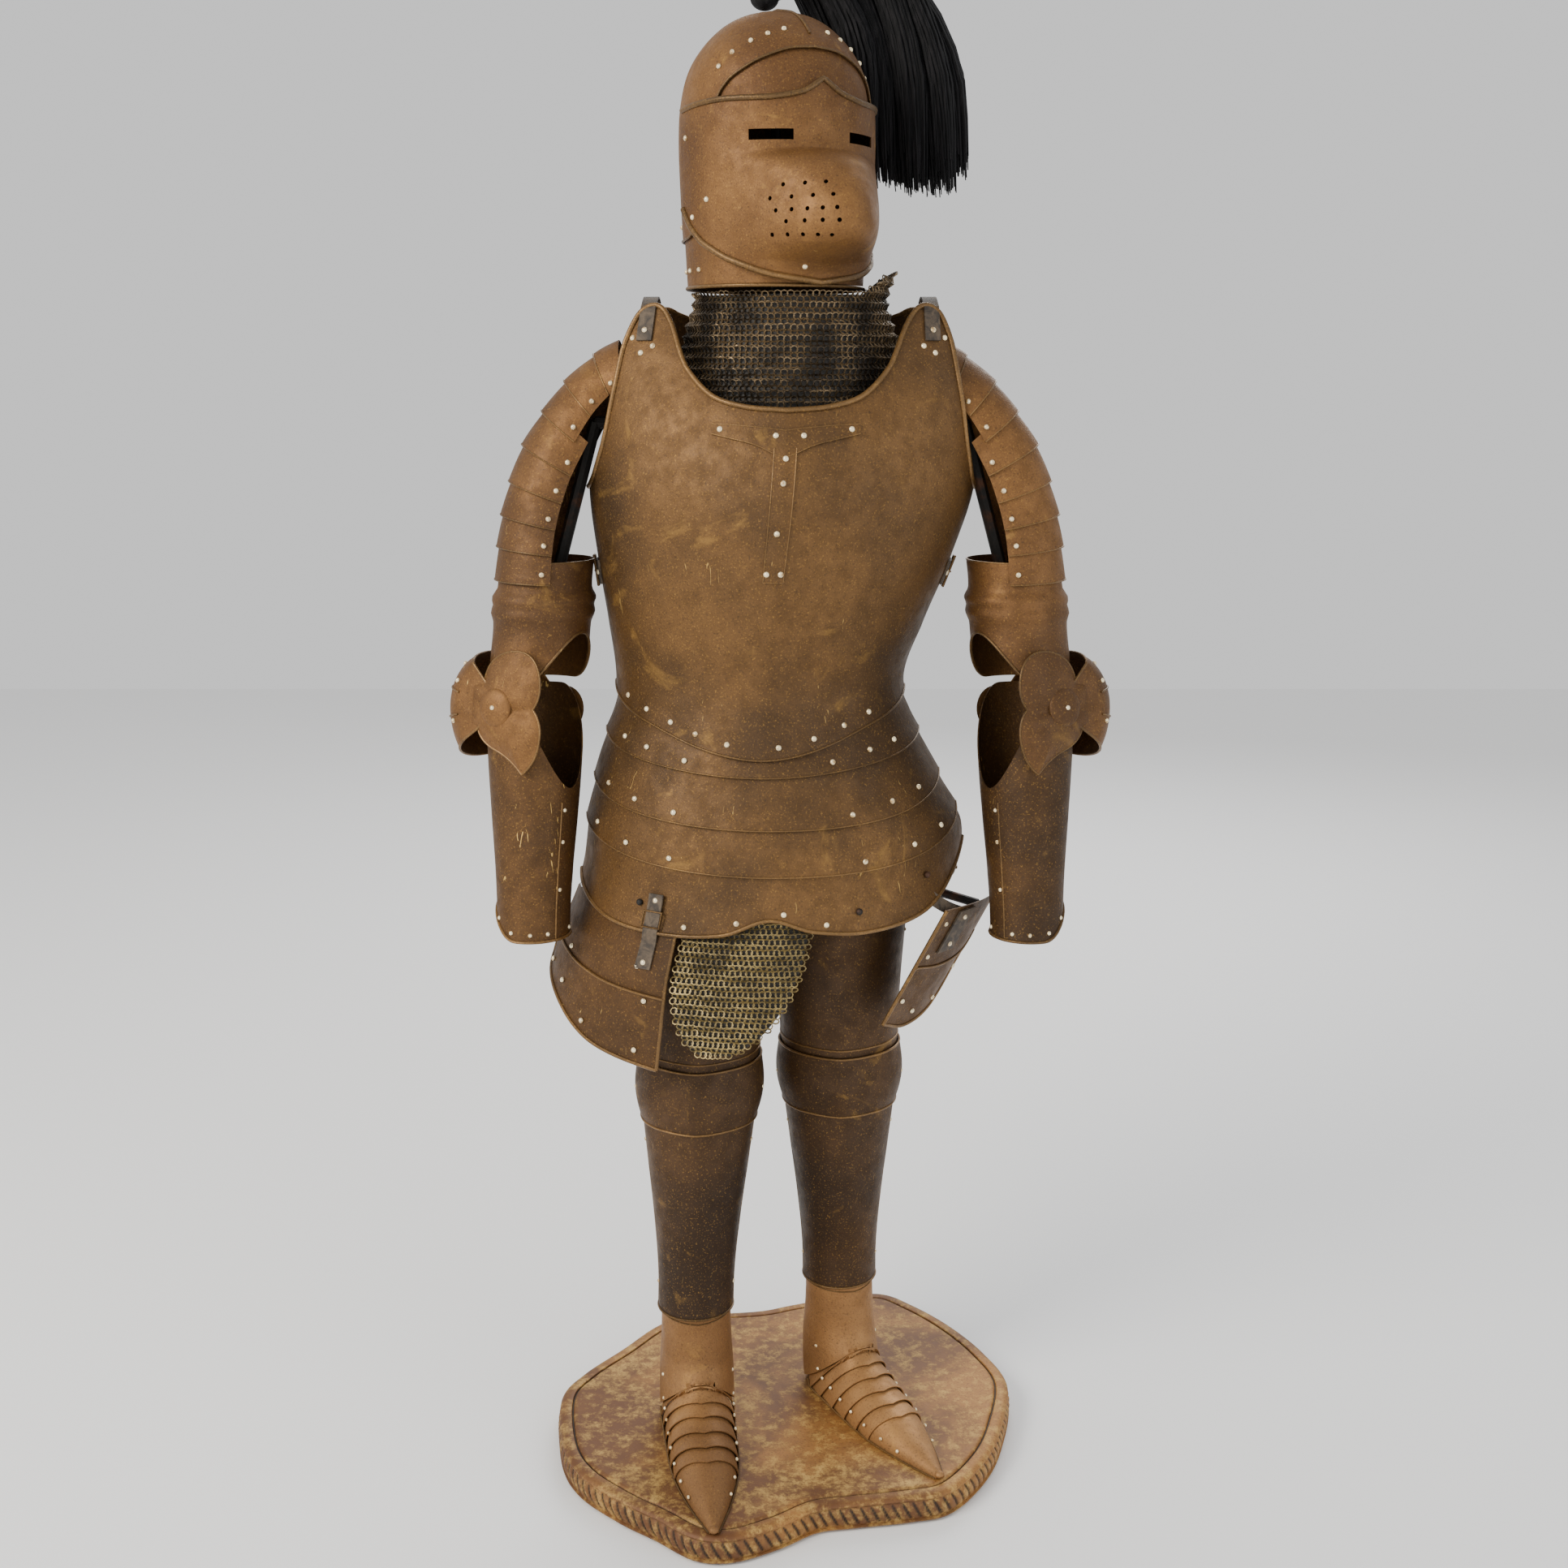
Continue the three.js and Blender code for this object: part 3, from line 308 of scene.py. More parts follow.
@dataclass(frozen=True)
class PatinatedSteel(Finish):
    """Rust-brown steel: clouds, mottling, fine speckle, ochre stains and thin scratches."""

    name: str
    base: Colour
    shade: Colour
    slot: Slot = Slot.STEEL
    ochre: Colour = linear(186, 142, 70)
    rough: float = 0.57
    metal: float = 0.55
    stains: float = 0.5
    scratches: float = 0.5

    def paint(self, shader: Shader) -> None:
        """Adds the steel's nodes."""
        clouds = shader.noise(4.2, 3, 0.55).between(0.36, 0.66)
        mottle = shader.noise(46, 5, 0.62).between(0.34, 0.7)
        speckle = shader.noise(430, 3, 0.6)
        colour = shader.mix(clouds, self.shade, self.base)
        colour = shader.mix(mottle * 0.34, colour, self.shade)
        colour = shader.mix(speckle.between(0.56, 0.74) * 0.38, colour, self.ochre)
        colour = shader.mix(speckle.between(0.45, 0.3) * 0.5, colour, (0.02, 0.013, 0.008))
        stain = shader.noise(11, 4, 0.6, 1.6).between(0.6, 0.74) * self.stains
        colour = shader.mix(stain * 0.45, colour, self.ochre)
        flow = shader.stretched((1, 1, 0.16), (0.35, 0.2, 0.5))
        lines = shader.noise(120, 2, 0.5, 2.2, flow).between(0.71, 0.75)
        patchy = shader.noise(6.5, 2).between(0.5, 0.62)
        colour = shader.mix(lines * patchy * self.scratches, colour, linear(214, 176, 100))
        shader.set(
            Base_Color=colour,
            Metallic=self.metal,
            Roughness=mottle * 0.16 + speckle * 0.14 + (self.rough - 0.12),
        )
        shader.bump(speckle * 0.6 + mottle * 0.5, 0.45, 0.0013)


@dataclass(frozen=True)
class PlinthPatina(Finish):
    """The plinth: worn brown bronze colour with pale rubbed patches, and near black in its hollows as dark
    patina with painted shade.
    """

    name: str = "plinth_patina"
    slot: Slot = Slot.PLINTH
    base: Colour = linear(150, 104, 50)
    deep: Colour = linear(96, 60, 30)
    pale: Colour = linear(206, 168, 92)

    def paint(self, shader: Shader) -> None:
        """Adds the plinth's nodes."""
        clouds = shader.noise(5.5, 4, 0.6, 0.6).between(0.4, 0.66)
        worn = shader.noise(3.4, 3, 0.6, 0.8).between(0.52, 0.72)
        grain = shader.noise(62, 6, 0.72)
        fine = shader.noise(330, 3, 0.6)
        colour = shader.mix(clouds, self.deep, self.base)
        colour = shader.mix(grain.between(0.44, 0.7) * 0.6, colour, self.pale)
        colour = shader.mix(worn * grain.between(0.36, 0.62) * 0.55, colour, self.pale)
        colour = shader.mix(fine.between(0.48, 0.34) * 0.55, colour, self.deep)
        # Near black in the rope's hollows and on the groove's floor: dark patina together with painted shade
        hollow_patina_and_shade = shader.node("ShaderNodeAttribute", {"attribute_name": "hollow_patina_and_shade"}, {}, "Fac")
        colour = shader.mix(hollow_patina_and_shade.between(0.12, 0.75) * 0.9, colour, (0.012, 0.007, 0.003))
        shader.set(Base_Color=colour, Metallic=0.3, Roughness=grain * 0.25 + 0.46)
        shader.bump(grain * 0.7 + fine * 0.3, 0.35, 0.0015)


@dataclass(frozen=True)
class Brass(Finish):
    """Bright rivet heads, a little tarnished."""

    name: str = "rivet_brass"
    slot: Slot = Slot.STEEL
    bright: Colour = linear(244, 228, 190)
    dull: Colour = linear(170, 136, 84)

    def paint(self, shader: Shader) -> None:
        """Adds the brass's nodes."""
        tarnish = shader.noise(150, 3).between(0.45, 0.7)
        shader.set(
            Base_Color=shader.mix(tarnish, self.bright, self.dull),
            Metallic=0.35,
            Roughness=tarnish * 0.2 + 0.22,
        )
        shader.bump(tarnish, 0.1, 0.0004)


@dataclass(frozen=True)
class RingSteel(Finish):
    """Mail rings with oxide in the hollows."""

    name: str
    light: Colour
    dark: Colour
    metal: float = 0.75
    slot: Slot = Slot.MAIL

    def paint(self, shader: Shader) -> None:
        """Adds the rings' nodes."""
        patches = shader.noise(24, 3).between(0.36, 0.64)
        spots = shader.noise(640, 2)
        colour = shader.mix(patches, self.dark, self.light)
        colour = shader.mix(spots.between(0.5, 0.36) * 0.6, colour, (0.012, 0.009, 0.006))
        shader.set(Base_Color=colour, Metallic=self.metal, Roughness=spots * 0.3 + 0.28)
        shader.bump(spots, 0.2, 0.0005)


@dataclass(frozen=True)
class Leather(Finish):
    """Dry grey-brown leather with a fine grain."""

    name: str = "strap_leather"
    base: Colour = linear(88, 74, 58)
    dark: Colour = linear(44, 36, 28)
    slot: Slot = Slot.STRAP

    def paint(self, shader: Shader) -> None:
        """Adds the leather's nodes."""
        creases = shader.noise(70, 4, 0.6, 0.8)
        grain = shader.cells(760)
        colour = shader.mix(creases.between(0.35, 0.66), self.dark, self.base)
        shader.set(Base_Color=colour, Roughness=creases * 0.2 + 0.6)
        shader.bump(grain * 0.6 + creases * 0.4, 0.35, 0.0008)


@dataclass(frozen=True)
class Feather(Finish):
    """Black plume with a faint cool sheen along the strands."""

    name: str = "plume_black"
    slot: Slot = Slot.PLUME

    def paint(self, shader: Shader) -> None:
        """Adds the plume's nodes."""
        strands = shader.noise(260, 2, 0.5, 0, shader.stretched((1, 1, 0.08)))
        colour = shader.mix(strands.between(0.4, 0.7), (0.0025, 0.0025, 0.003), (0.011, 0.01, 0.011))
        shader.set(Base_Color=colour, Roughness=strands * 0.2 + 0.66)
        shader.set(Specular_IOR_Level=0.25)
        shader.bump(strands, 0.2, 0.001)


@dataclass(frozen=True)
class BareIron(Finish):
    """Dark iron of the stand inside. The fauld's empty stud holes get domes of it as painted shade."""

    name: str = "stand_iron_and_hole_shade"
    slot: Slot = Slot.IRON

    def paint(self, shader: Shader) -> None:
        """Adds the iron's nodes."""
        rust = shader.noise(36, 4, 0.6).between(0.5, 0.72)
        fine = shader.noise(300, 2)
        colour = shader.mix(rust, linear(42, 40, 38), linear(86, 56, 38))
        shader.set(Base_Color=colour, Metallic=0.6, Roughness=fine * 0.25 + 0.5)
        shader.bump(fine, 0.25, 0.0008)


HEAD_STEEL = PatinatedSteel("steel_head", linear(132, 93, 50), linear(92, 61, 31), stains=0.7)
TRUNK_STEEL = PatinatedSteel("steel_trunk", linear(106, 75, 39), linear(66, 46, 24))
ARM_STEEL = PatinatedSteel("steel_arms", linear(122, 84, 44), linear(78, 52, 26), scratches=0.8)
# A darker steel for the forearms; on the tassets its darkness is painted shade
FOREARM_STEEL_AND_TASSET_SHADE = PatinatedSteel("steel_forearms_and_tasset_shade", linear(90, 61, 29), linear(54, 36, 17), scratches=0.9)
# Darker than the steel above it: painted shade, since the light falls off lower down
LEG_STEEL_PAINTED_SHADE = PatinatedSteel("steel_legs_painted_shade", linear(76, 52, 27), linear(46, 30, 15), scratches=0.3)
FOOT_STEEL = PatinatedSteel("steel_feet", linear(170, 126, 78), linear(124, 88, 52), scratches=0.2)
EDGE_STEEL = PatinatedSteel("steel_rubbed_edges", linear(126, 94, 54), linear(84, 62, 34), rough=0.42)
BRASS = Brass()
COLLAR_RINGS = RingSteel("mail_rings_dark", linear(128, 108, 80), linear(60, 50, 38))
FLAP_RINGS = RingSteel("mail_rings_olive", linear(158, 138, 90), linear(98, 84, 54), 0.6)
LEATHER = Leather()
# A dark sheet behind the mail's rings: painted shade that shows between them
MAIL_BACKING_SHADE = Leather("mail_backing_painted_shade", linear(40, 34, 27), linear(20, 17, 14), Slot.MAIL)
FEATHER = Feather()
IRON = BareIron()


# Curves through tables


def mix(first: float, second: float, share: float) -> float:
    """The value at a share of the way from first to second."""
    return first + (second - first) * share


def spread(first: float, last: float, steps: int) -> list[float]:
    """Even values from first to last, both included."""
    return [mix(first, last, i / steps) for i in range(steps + 1)]


def toward(first: Vector, second: Vector, share: float) -> Vector:
    """The point at a share of the way from first to second."""
    return first + (second - first) * share


@dataclass(frozen=True)
class Profile:
    """A smooth curve through the rows of a table, whose first column is the key."""

    columns: tuple[str, ...]
    rows: tuple[tuple[float, ...], ...]

    def at(self, key: float) -> tuple[float, ...]:
        """The value of every column at a key.

        Args:
            key: A value of the first column.

        Returns:
            A row of the table's columns.
        """
        rows = self.rows
        last = len(rows) - 1
        i = 0
        while i < last - 1 and key > rows[i + 1][0]:
            i += 1
        b, c = rows[i], rows[i + 1]
        f = (key - b[0]) / (c[0] - b[0])
        a = rows[i - 1] if i > 0 else tuple(2 * p - q for p, q in zip(b, c))
        d = rows[i + 2] if i < last - 1 else tuple(2 * q - p for p, q in zip(b, c))
        return tuple(
            0.5 * (2 * q + (r - p) * f + (2 * p - 5 * q + 4 * r - s) * f * f + (3 * q - p - 3 * r + s) * f**3)
            for p, q, r, s in zip(a, b, c, d)
        )

    def edge(self) -> Edge:
        """The second column as a function of the key."""
        return lambda key: self.at(key)[1]

    def face_edge(self) -> Edge:
        """The second column of a table that starts at the front, the same on both sides."""
        return lambda key: self.at(abs(key))[1]


TRUNK = Profile(
    ("z", "x", "half", "front", "back", "keel"),
    (
        (560, -20, 322, 236, 190, 0),
        (690, -20, 288, 226, 184, 0),
        (784, -18, 252, 214, 178, 0),
        (860, -13, 248, 208, 176, 0),
        (910, -20, 231, 195, 166, 0),
        (960, -26, 213, 180, 152, 3),
        (1010, -29, 193, 167, 140, 5),
        (1050, -31, 187, 160, 132, 7),
        (1110, -24, 201, 166, 128, 9),
        (1184, -14, 222, 176, 128, 12),
        (1289, -3, 244, 180, 134, 14),
        (1380, 3, 242, 158, 132, 10),
        (1457, 5, 236, 112, 108, 2),
        (1520, 8, 230, 66, 66, 0),
    ),
)
KEEL_TURN = 34
# Thickness of the plates, how deep one goes under another, how far it goes, the play between them,
# thickness of the leather, and the lift of what hangs behind the waist lames
WALL = 1.6
TUCK = 2.4
OVERLAP = 12
GAP = 0.4
HIDE = 2.4
UNDER_FAULD = -(WALL + TUCK + GAP)


def oval(turn: float, x: float, y: float, half: float, depth: float, z: float) -> Vector:
    """A point of an oval section.

    Args:
        turn: Degrees from the front.
        x: The middle's x.
        y: The middle's y.
        half: Half width.
        depth: Depth in front or behind.
        z: Height.

    Returns:
        The point.
    """
    a = math.radians(turn)
    return Vector((x + half * math.sin(a), y - depth * math.cos(a), z))


def in_front(turn: float) -> bool:
    """Whether a turn lies on the front half."""
    return abs(turn) <= 90 or abs(turn) >= 270


def trunk(turn: float, z: float) -> Vector:
    """The outer face of the trunk at a turn and a height."""
    _, x, half, front, back, keel = TRUNK.at(z)
    ridge = keel * max(0, 1 - abs(turn) / KEEL_TURN)
    return oval(turn, x, 0, half, front + ridge if in_front(turn) else back, z)


# Mesh building


def empty_mesh() -> bmesh.types.BMesh:
    """A new bmesh."""
    return bmesh.new()


def grid(columns: int, rows: int) -> bmesh.types.BMesh:
    """A flat grid over the unit square, as a bmesh.

    Args:
        columns: Spans across.
        rows: Spans up.

    Returns:
        The bmesh, with x and y from 0 to 1.
    """
    bm = empty_mesh()
    bmesh.ops.create_grid(bm, x_segments=columns, y_segments=rows, size=0.5)
    bmesh.ops.translate(bm, vec=(0.5, 0.5, 0), verts=bm.verts[:])
    return bm


def level(edge: Edge | float) -> Edge:
    """An edge as a function, where a number stands for a level one."""
    return edge if callable(edge) else lambda _turn: edge


def above(edge: Edge, rise: float) -> Edge:
    """An edge moved up by a rise."""
    return lambda turn: edge(turn) + rise


@dataclass(frozen=True)
class Plate:
    """A sheet of metal behind an outer face.

    The face runs over the turns, and at each turn from the low edge to the high one. The lift, a
    number or a function of the turn and the share of the way up, moves it outwards.
    """

    surface: Surface
    turns: tuple[float, float]
    low: Edge | float
    high: Edge | float
    columns: int = 60
    rows: int = 20
    wall: float = WALL
    lift: Lift | float = 0.0

    def face(self) -> bmesh.types.BMesh:
        """The outer face, without thickness, in metres."""
        bm = grid(self.columns, self.rows)
        raised = bm.verts.layers.float.new("raised")
        low = level(self.low)
        high = level(self.high)
        for vert in bm.verts:
            turn = mix(*self.turns, vert.co.x)
            share = vert.co.y
            lift = self.lift(turn, share) if callable(self.lift) else self.lift
            vert[raised] = lift * MM
            vert.co = self.surface(turn, mix(low(turn), high(turn), share)) * MM
        bmesh.ops.remove_doubles(bm, verts=bm.verts[:], dist=WELD)
        bm.normal_update()
        moves = [(vert, vert.normal * vert[raised]) for vert in bm.verts]
        for vert, move in moves:
            vert.co += move
        return bm

    def build(self) -> bmesh.types.BMesh:
        """The plate with its thickness."""
        bm = self.face()
        thicken(bm, self.wall)
        return bm


def thicken(bm: bmesh.types.BMesh, wall: float) -> None:
    """Gives an open face a wall behind it.

    Args:
        bm: The face, in metres.
        wall: Thickness in millimetres.
    """
    bm.normal_update()
    bmesh.ops.solidify(bm, geom=bm.faces[:], thickness=wall * MM)
    bm.normal_update()


def merged(parts: Sequence[bmesh.types.BMesh]) -> bmesh.types.BMesh:
    """Puts several bmeshes into the first one.

    Args:
        parts: The bmeshes. All but the first are freed.

    Returns:
        The first one, with all the parts in it.
    """
    for part in parts[1:]:
        carrier = bpy.data.meshes.new("carrier")
        part.to_mesh(carrier)
        part.free()
        parts[0].from_mesh(carrier)
        bpy.data.meshes.remove(carrier)
    return parts[0]


def moved(bm: bmesh.types.BMesh, matrix: Matrix) -> bmesh.types.BMesh:
    """Transforms a whole bmesh, and turns its faces round where the matrix mirrors."""
    bmesh.ops.transform(bm, matrix=matrix, verts=bm.verts[:])
    if matrix.determinant() < 0:
        bmesh.ops.reverse_faces(bm, faces=bm.faces[:])
    return bm


@dataclass(frozen=True)
class Tube:
    """A round bar along points in millimetres, with a radius or one radius for each point."""

    points: Sequence[Vector]
    radius: float | Sequence[float]
    cyclic: bool = False


def tubes(lines: Sequence[Tube], sides: int = 2) -> bmesh.types.BMesh:
    """Makes round bars along lines.

    Args:
        lines: The bars.
        sides: The bevel resolution of their section: 0 gives four sides.

    Returns:
        One bmesh with all of them, in metres.
    """
    curve = bpy.data.curves.new("bars", "CURVE")
    curve.dimensions = "3D"
    curve.bevel_depth = MM
    curve.bevel_resolution = sides
    curve.use_fill_caps = True
    for line in lines:
        spline = curve.splines.new("POLY")
        spline.points.add(len(line.points) - 1)
        spline.use_cyclic_u = line.cyclic
        even = isinstance(line.radius, (int, float))
        for i, point in enumerate(line.points):
            spline.points[i].co = (*(point * MM), 1)
            spline.points[i].radius = line.radius if even else line.radius[i]
    carrier = bpy.data.objects.new("bars", curve)
    mesh = bpy.data.meshes.new_from_object(carrier)
    bm = empty_mesh()
    bm.from_mesh(mesh)
    bpy.data.objects.remove(carrier)
    bpy.data.curves.remove(curve)
    bpy.data.meshes.remove(mesh)
    bmesh.ops.remove_doubles(bm, verts=bm.verts[:], dist=1e-7)
    return bm


@dataclass(frozen=True)
class Spot:
    """A place on a surface, with the way outwards."""

    point: Vector
    out: Vector


def spot(surface: Surface, turn: float, place: float, lift: float = 0, step: float = 1) -> Spot:
    """The spot of a surface at a turn and a height or station.

    Args:
        surface: The surface.
        turn: Degrees from the front.
        place: Height or station.
        lift: How far outwards, in millimetres.
        step: How far to look up and down for the slope.

    Returns:
        The spot.
    """
    across = surface(turn + 0.5, place) - surface(turn - 0.5, place)
    up = surface(turn, place + step) - surface(turn, place - step)
    out = across.cross(up).normalized()
    return Spot(surface(turn, place) + out * lift, out)


def studs(places: Sequence[Spot], radius: float = 3.6, height: float = 2.6) -> bmesh.types.BMesh:
    """Makes round rivet heads.

    Args:
        places: Where they sit.
        radius: Radius in millimetres.
        height: How far they stand out, in millimetres.

    Returns:
        One bmesh with all of them.
    """
    bm = empty_mesh()
    for place in places:
        turn = place.out.to_track_quat("Z", "Y").to_matrix().to_4x4()
        size = Matrix.Diagonal((radius * MM, radius * MM, height * MM, 1))
        matrix = Matrix.Translation(place.point * MM) @ turn @ size
        bmesh.ops.create_uvsphere(bm, u_segments=10, v_segments=6, radius=1, matrix=matrix)
    return bm


def piece(
    name: str,
    bm: bmesh.types.BMesh,
    finish: Finish,
    nodes: Sequence[str] = (),
    body: Body = Body.FIGURE,
) -> bpy.types.Object:
    """Turns a bmesh into a finished piece that rides on a body.

    Args:
        name: The piece's name.
        bm: The bmesh, which is freed.
        finish: The piece's finish, which knows the record's material slot.
        nodes: The nodes of the frame that it stands for.
        body: The body that it rides on.

    Returns:
        The object.
    """
    bm.normal_update()
    for face in bm.faces:
        face.smooth = True
    for edge in bm.edges:
        if len(edge.link_faces) == 2 and edge.calc_face_angle(0) > SHARP:
            edge.smooth = False
    mesh = bpy.data.meshes.new(name)
    bm.to_mesh(mesh)
    bm.free()
    made = bpy.data.objects.new(name, mesh)
    bpy.context.scene.collection.objects.link(made)
    mesh.materials.append(finish.material())
    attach(made, body.value)
    if nodes:
        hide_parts(*nodes)
    LOG.info("%s: %d faces on %s", name, len(mesh.polygons), body.value)
    return made


def placed(surface: Surface, x: float, y: float, turn: float) -> Surface:
    """A surface turned about +Z and moved to a place.

    Args:
        surface: The surface in its own frame.
        x: Its place.
        y: Its place.
        turn: Degrees round +Z.

    Returns:
        The surface in the figure's frame.
    """
    matrix = Matrix.Translation((x, y, 0)) @ Matrix.Rotation(math.radians(turn), 4, "Z")
    return lambda a, b: matrix @ surface(a, b)


def line_on(surface: Surface, turns: Sequence[float], edge: Edge | float, lift: float = 0) -> list[Vector]:
    """Points along an edge of a surface, moved outwards by a lift."""
    line = level(edge)
    return [spot(surface, turn, line(turn), lift, FINE).point for turn in turns]


def edging(name: str, bars: Sequence[Tube], sides: int = 2, body: Body = Body.FIGURE) -> None:
    """Makes a piece of rubbed steel bars."""
    piece(name, tubes(bars, sides), EDGE_STEEL, (), body)


def riveting(
    name: str, spots: Sequence[Spot], radius: float = 3.6, height: float = 2.6, body: Body = Body.FIGURE
) -> None:
    """Makes a piece of brass rivet heads."""
    piece(name, studs(spots, radius, height), BRASS, (), body)


# Plinth


@dataclass(frozen=True)
class Plinth:
    """The low cloud-shaped slab with a roped side and a groove round its top."""

    # Points round the foot of the slab: x and y
    lobes: tuple[tuple[float, float], ...] = (
        (-306, -63), (-292, -172), (-262, -238), (-207, -292), (-158, -328), (-108, -366), (-62, -369),
        (-8, -344), (40, -312), (88, -302), (160, -290), (212, -272), (262, -206), (292, -130), (312, -27),
        (288, 55), (246, 130), (196, 190), (148, 226), (80, 214), (14, 192), (-30, 175), (-78, 168),
        (-138, 166), (-188, 130), (-234, 64), (-282, -2),
    )
    # The rope: length of a strand along the side, rise of its slant, relief, sunk root and roundness
    twist: float = 13.5
    slant: float = 26
    relief: float = 3.4
    root: float = 2
    roundness: float = 0.7
    # The insets of the groove's floor, and how dark its painted shade is
    grooves: tuple[float, ...] = (14.2, 15.6)
    groove_painted_shade: float = 0.7
    steps: int = 52
    # Section from the underside's rim to the top's: inset, height and depth of the rope
    section: tuple[tuple[float, float, float], ...] = (
        (4, 0, 0), (0, 1.5, 0), (-4.4, 4, 0), (-5, 6, 0), (-2.5, 7, 0.2), (-2.8, 10, 0.8), (-3.6, 14, 1),
        (-4.2, 18, 1), (-4.2, 22, 1), (-3.4, 26, 1), (-2.2, 29, 0.8), (-1, 31.5, 0.2), (-2.6, 32.5, 0),
        (-3.2, 34.5, 0), (-2, 36.5, 0), (1, 38.2, 0), (5, 39.2, 0), (11, 39.4, 0), (13, 38.8, 0),
        (14.2, 36.4, 0), (15.6, 36.4, 0), (16.6, 38.6, 0), (18.4, 39.9, 0), (22, 40, 0),
    )

    def outline(self) -> list[Vector]:
        """Points round the slab, close together."""
        count = len(self.lobes)
        rows = [(i - 1, *self.lobes[(i - 1) % count]) for i in range(count + 3)]
        curve = Profile(("at", "x", "y"), tuple(rows))
        found = [curve.at(i / self.steps) for i in range(count * self.steps)]
        return [Vector((x, y, 0)) for _, x, y in found]

    def build(self) -> None:
        """Makes the slab."""
        points = self.outline()
        count = len(points)
        outward = []
        reached = [0.0]
        for i, point in enumerate(points):
            ahead = points[(i + 1) % count]
            tangent = ahead - points[i - 1]
            outward.append(Vector((-tangent.y, tangent.x, 0)).normalized())
            reached.append(reached[-1] + (ahead - point).length)
        side = 1 if outward[0].dot(points[0]) > 0 else -1
        turns = round(reached[-1] / self.twist)
        bm = grid(count, len(self.section) - 1)
        hollow_patina_and_shade = bm.verts.layers.float.new("hollow_patina_and_shade")
        for vert in bm.verts:
            i = round(vert.co.x * count) % count
            inset, z, depth = self.section[round(vert.co.y * (len(self.section) - 1))]
            phase = 2 * math.pi * (turns * reached[i] / reached[-1] + z / self.slant)
            bead = abs(math.sin(phase / 2)) ** self.roundness
            rope = depth * (self.relief * bead - self.root)
            # How dark the point is painted: patina with painted shade between the beads, and painted shade on
            # the groove's floor
            vert[hollow_patina_and_shade] = depth * (1 - bead) + (self.groove_painted_shade if inset in self.grooves else 0)
            vert.co = (points[i] + outward[i] * side * (rope - inset) + Vector((0, 0, z))) * MM
        bmesh.ops.remove_doubles(bm, verts=bm.verts[:], dist=1e-5)
        bmesh.ops.holes_fill(bm, edges=[e for e in bm.edges if e.is_boundary], sides=0)
        bmesh.ops.recalc_face_normals(bm, faces=bm.faces[:])
        piece("plinth_slab", bm, PlinthPatina(), ["base_plinth"])


# Feet and legs

FOOT = Profile(
    ("at", "y", "z", "lean", "half", "rise"),
    (
        (0, 0, 222, 0, 46, 46),
        (1, 0, 165, 4, 47, 48),
        (2, 2, 105, 22, 50, 62),
        (3, -8, 41, 52, 50, 96),
        (4, -62, 40.6, 72, 48, 68),
        (5, -115, 40.6, 84, 46, 50),
        (6, -165, 40.6, 88, 40, 38),
        (7, -218, 40.6, 90, 26, 24),
        (8, -272, 40.6, 90, 6, 8),
    ),
)
# The last station, how far the lames' points lead, the height of the sole and the depth of the heel
STATIONS = 8
CHEVRON = 0.55
SOLE = 40.6
HEEL = 46


def foot(turn: float, station: float) -> Vector:
    """The top of a foot: an arch that leans from the ankle to the toe, and closes round the heel."""
    behind = abs(turn) > 90
    away = 180 - abs(turn) if behind else abs(turn)
    back = CHEVRON * math.sin(math.pi * station / STATIONS) * away / 90
    _, y, z, lean, half, rise = FOOT.at(max(0, station - back))
    if behind:
        return oval(turn, 0, y, half, HEEL, max(z, SOLE))
    up = rise * math.cos(math.radians(turn))
    tilt = math.radians(lean)
    x = half * math.sin(math.radians(turn))
    return Vector((x, y - up * math.cos(tilt), max(z, SOLE) + up * math.sin(tilt)))


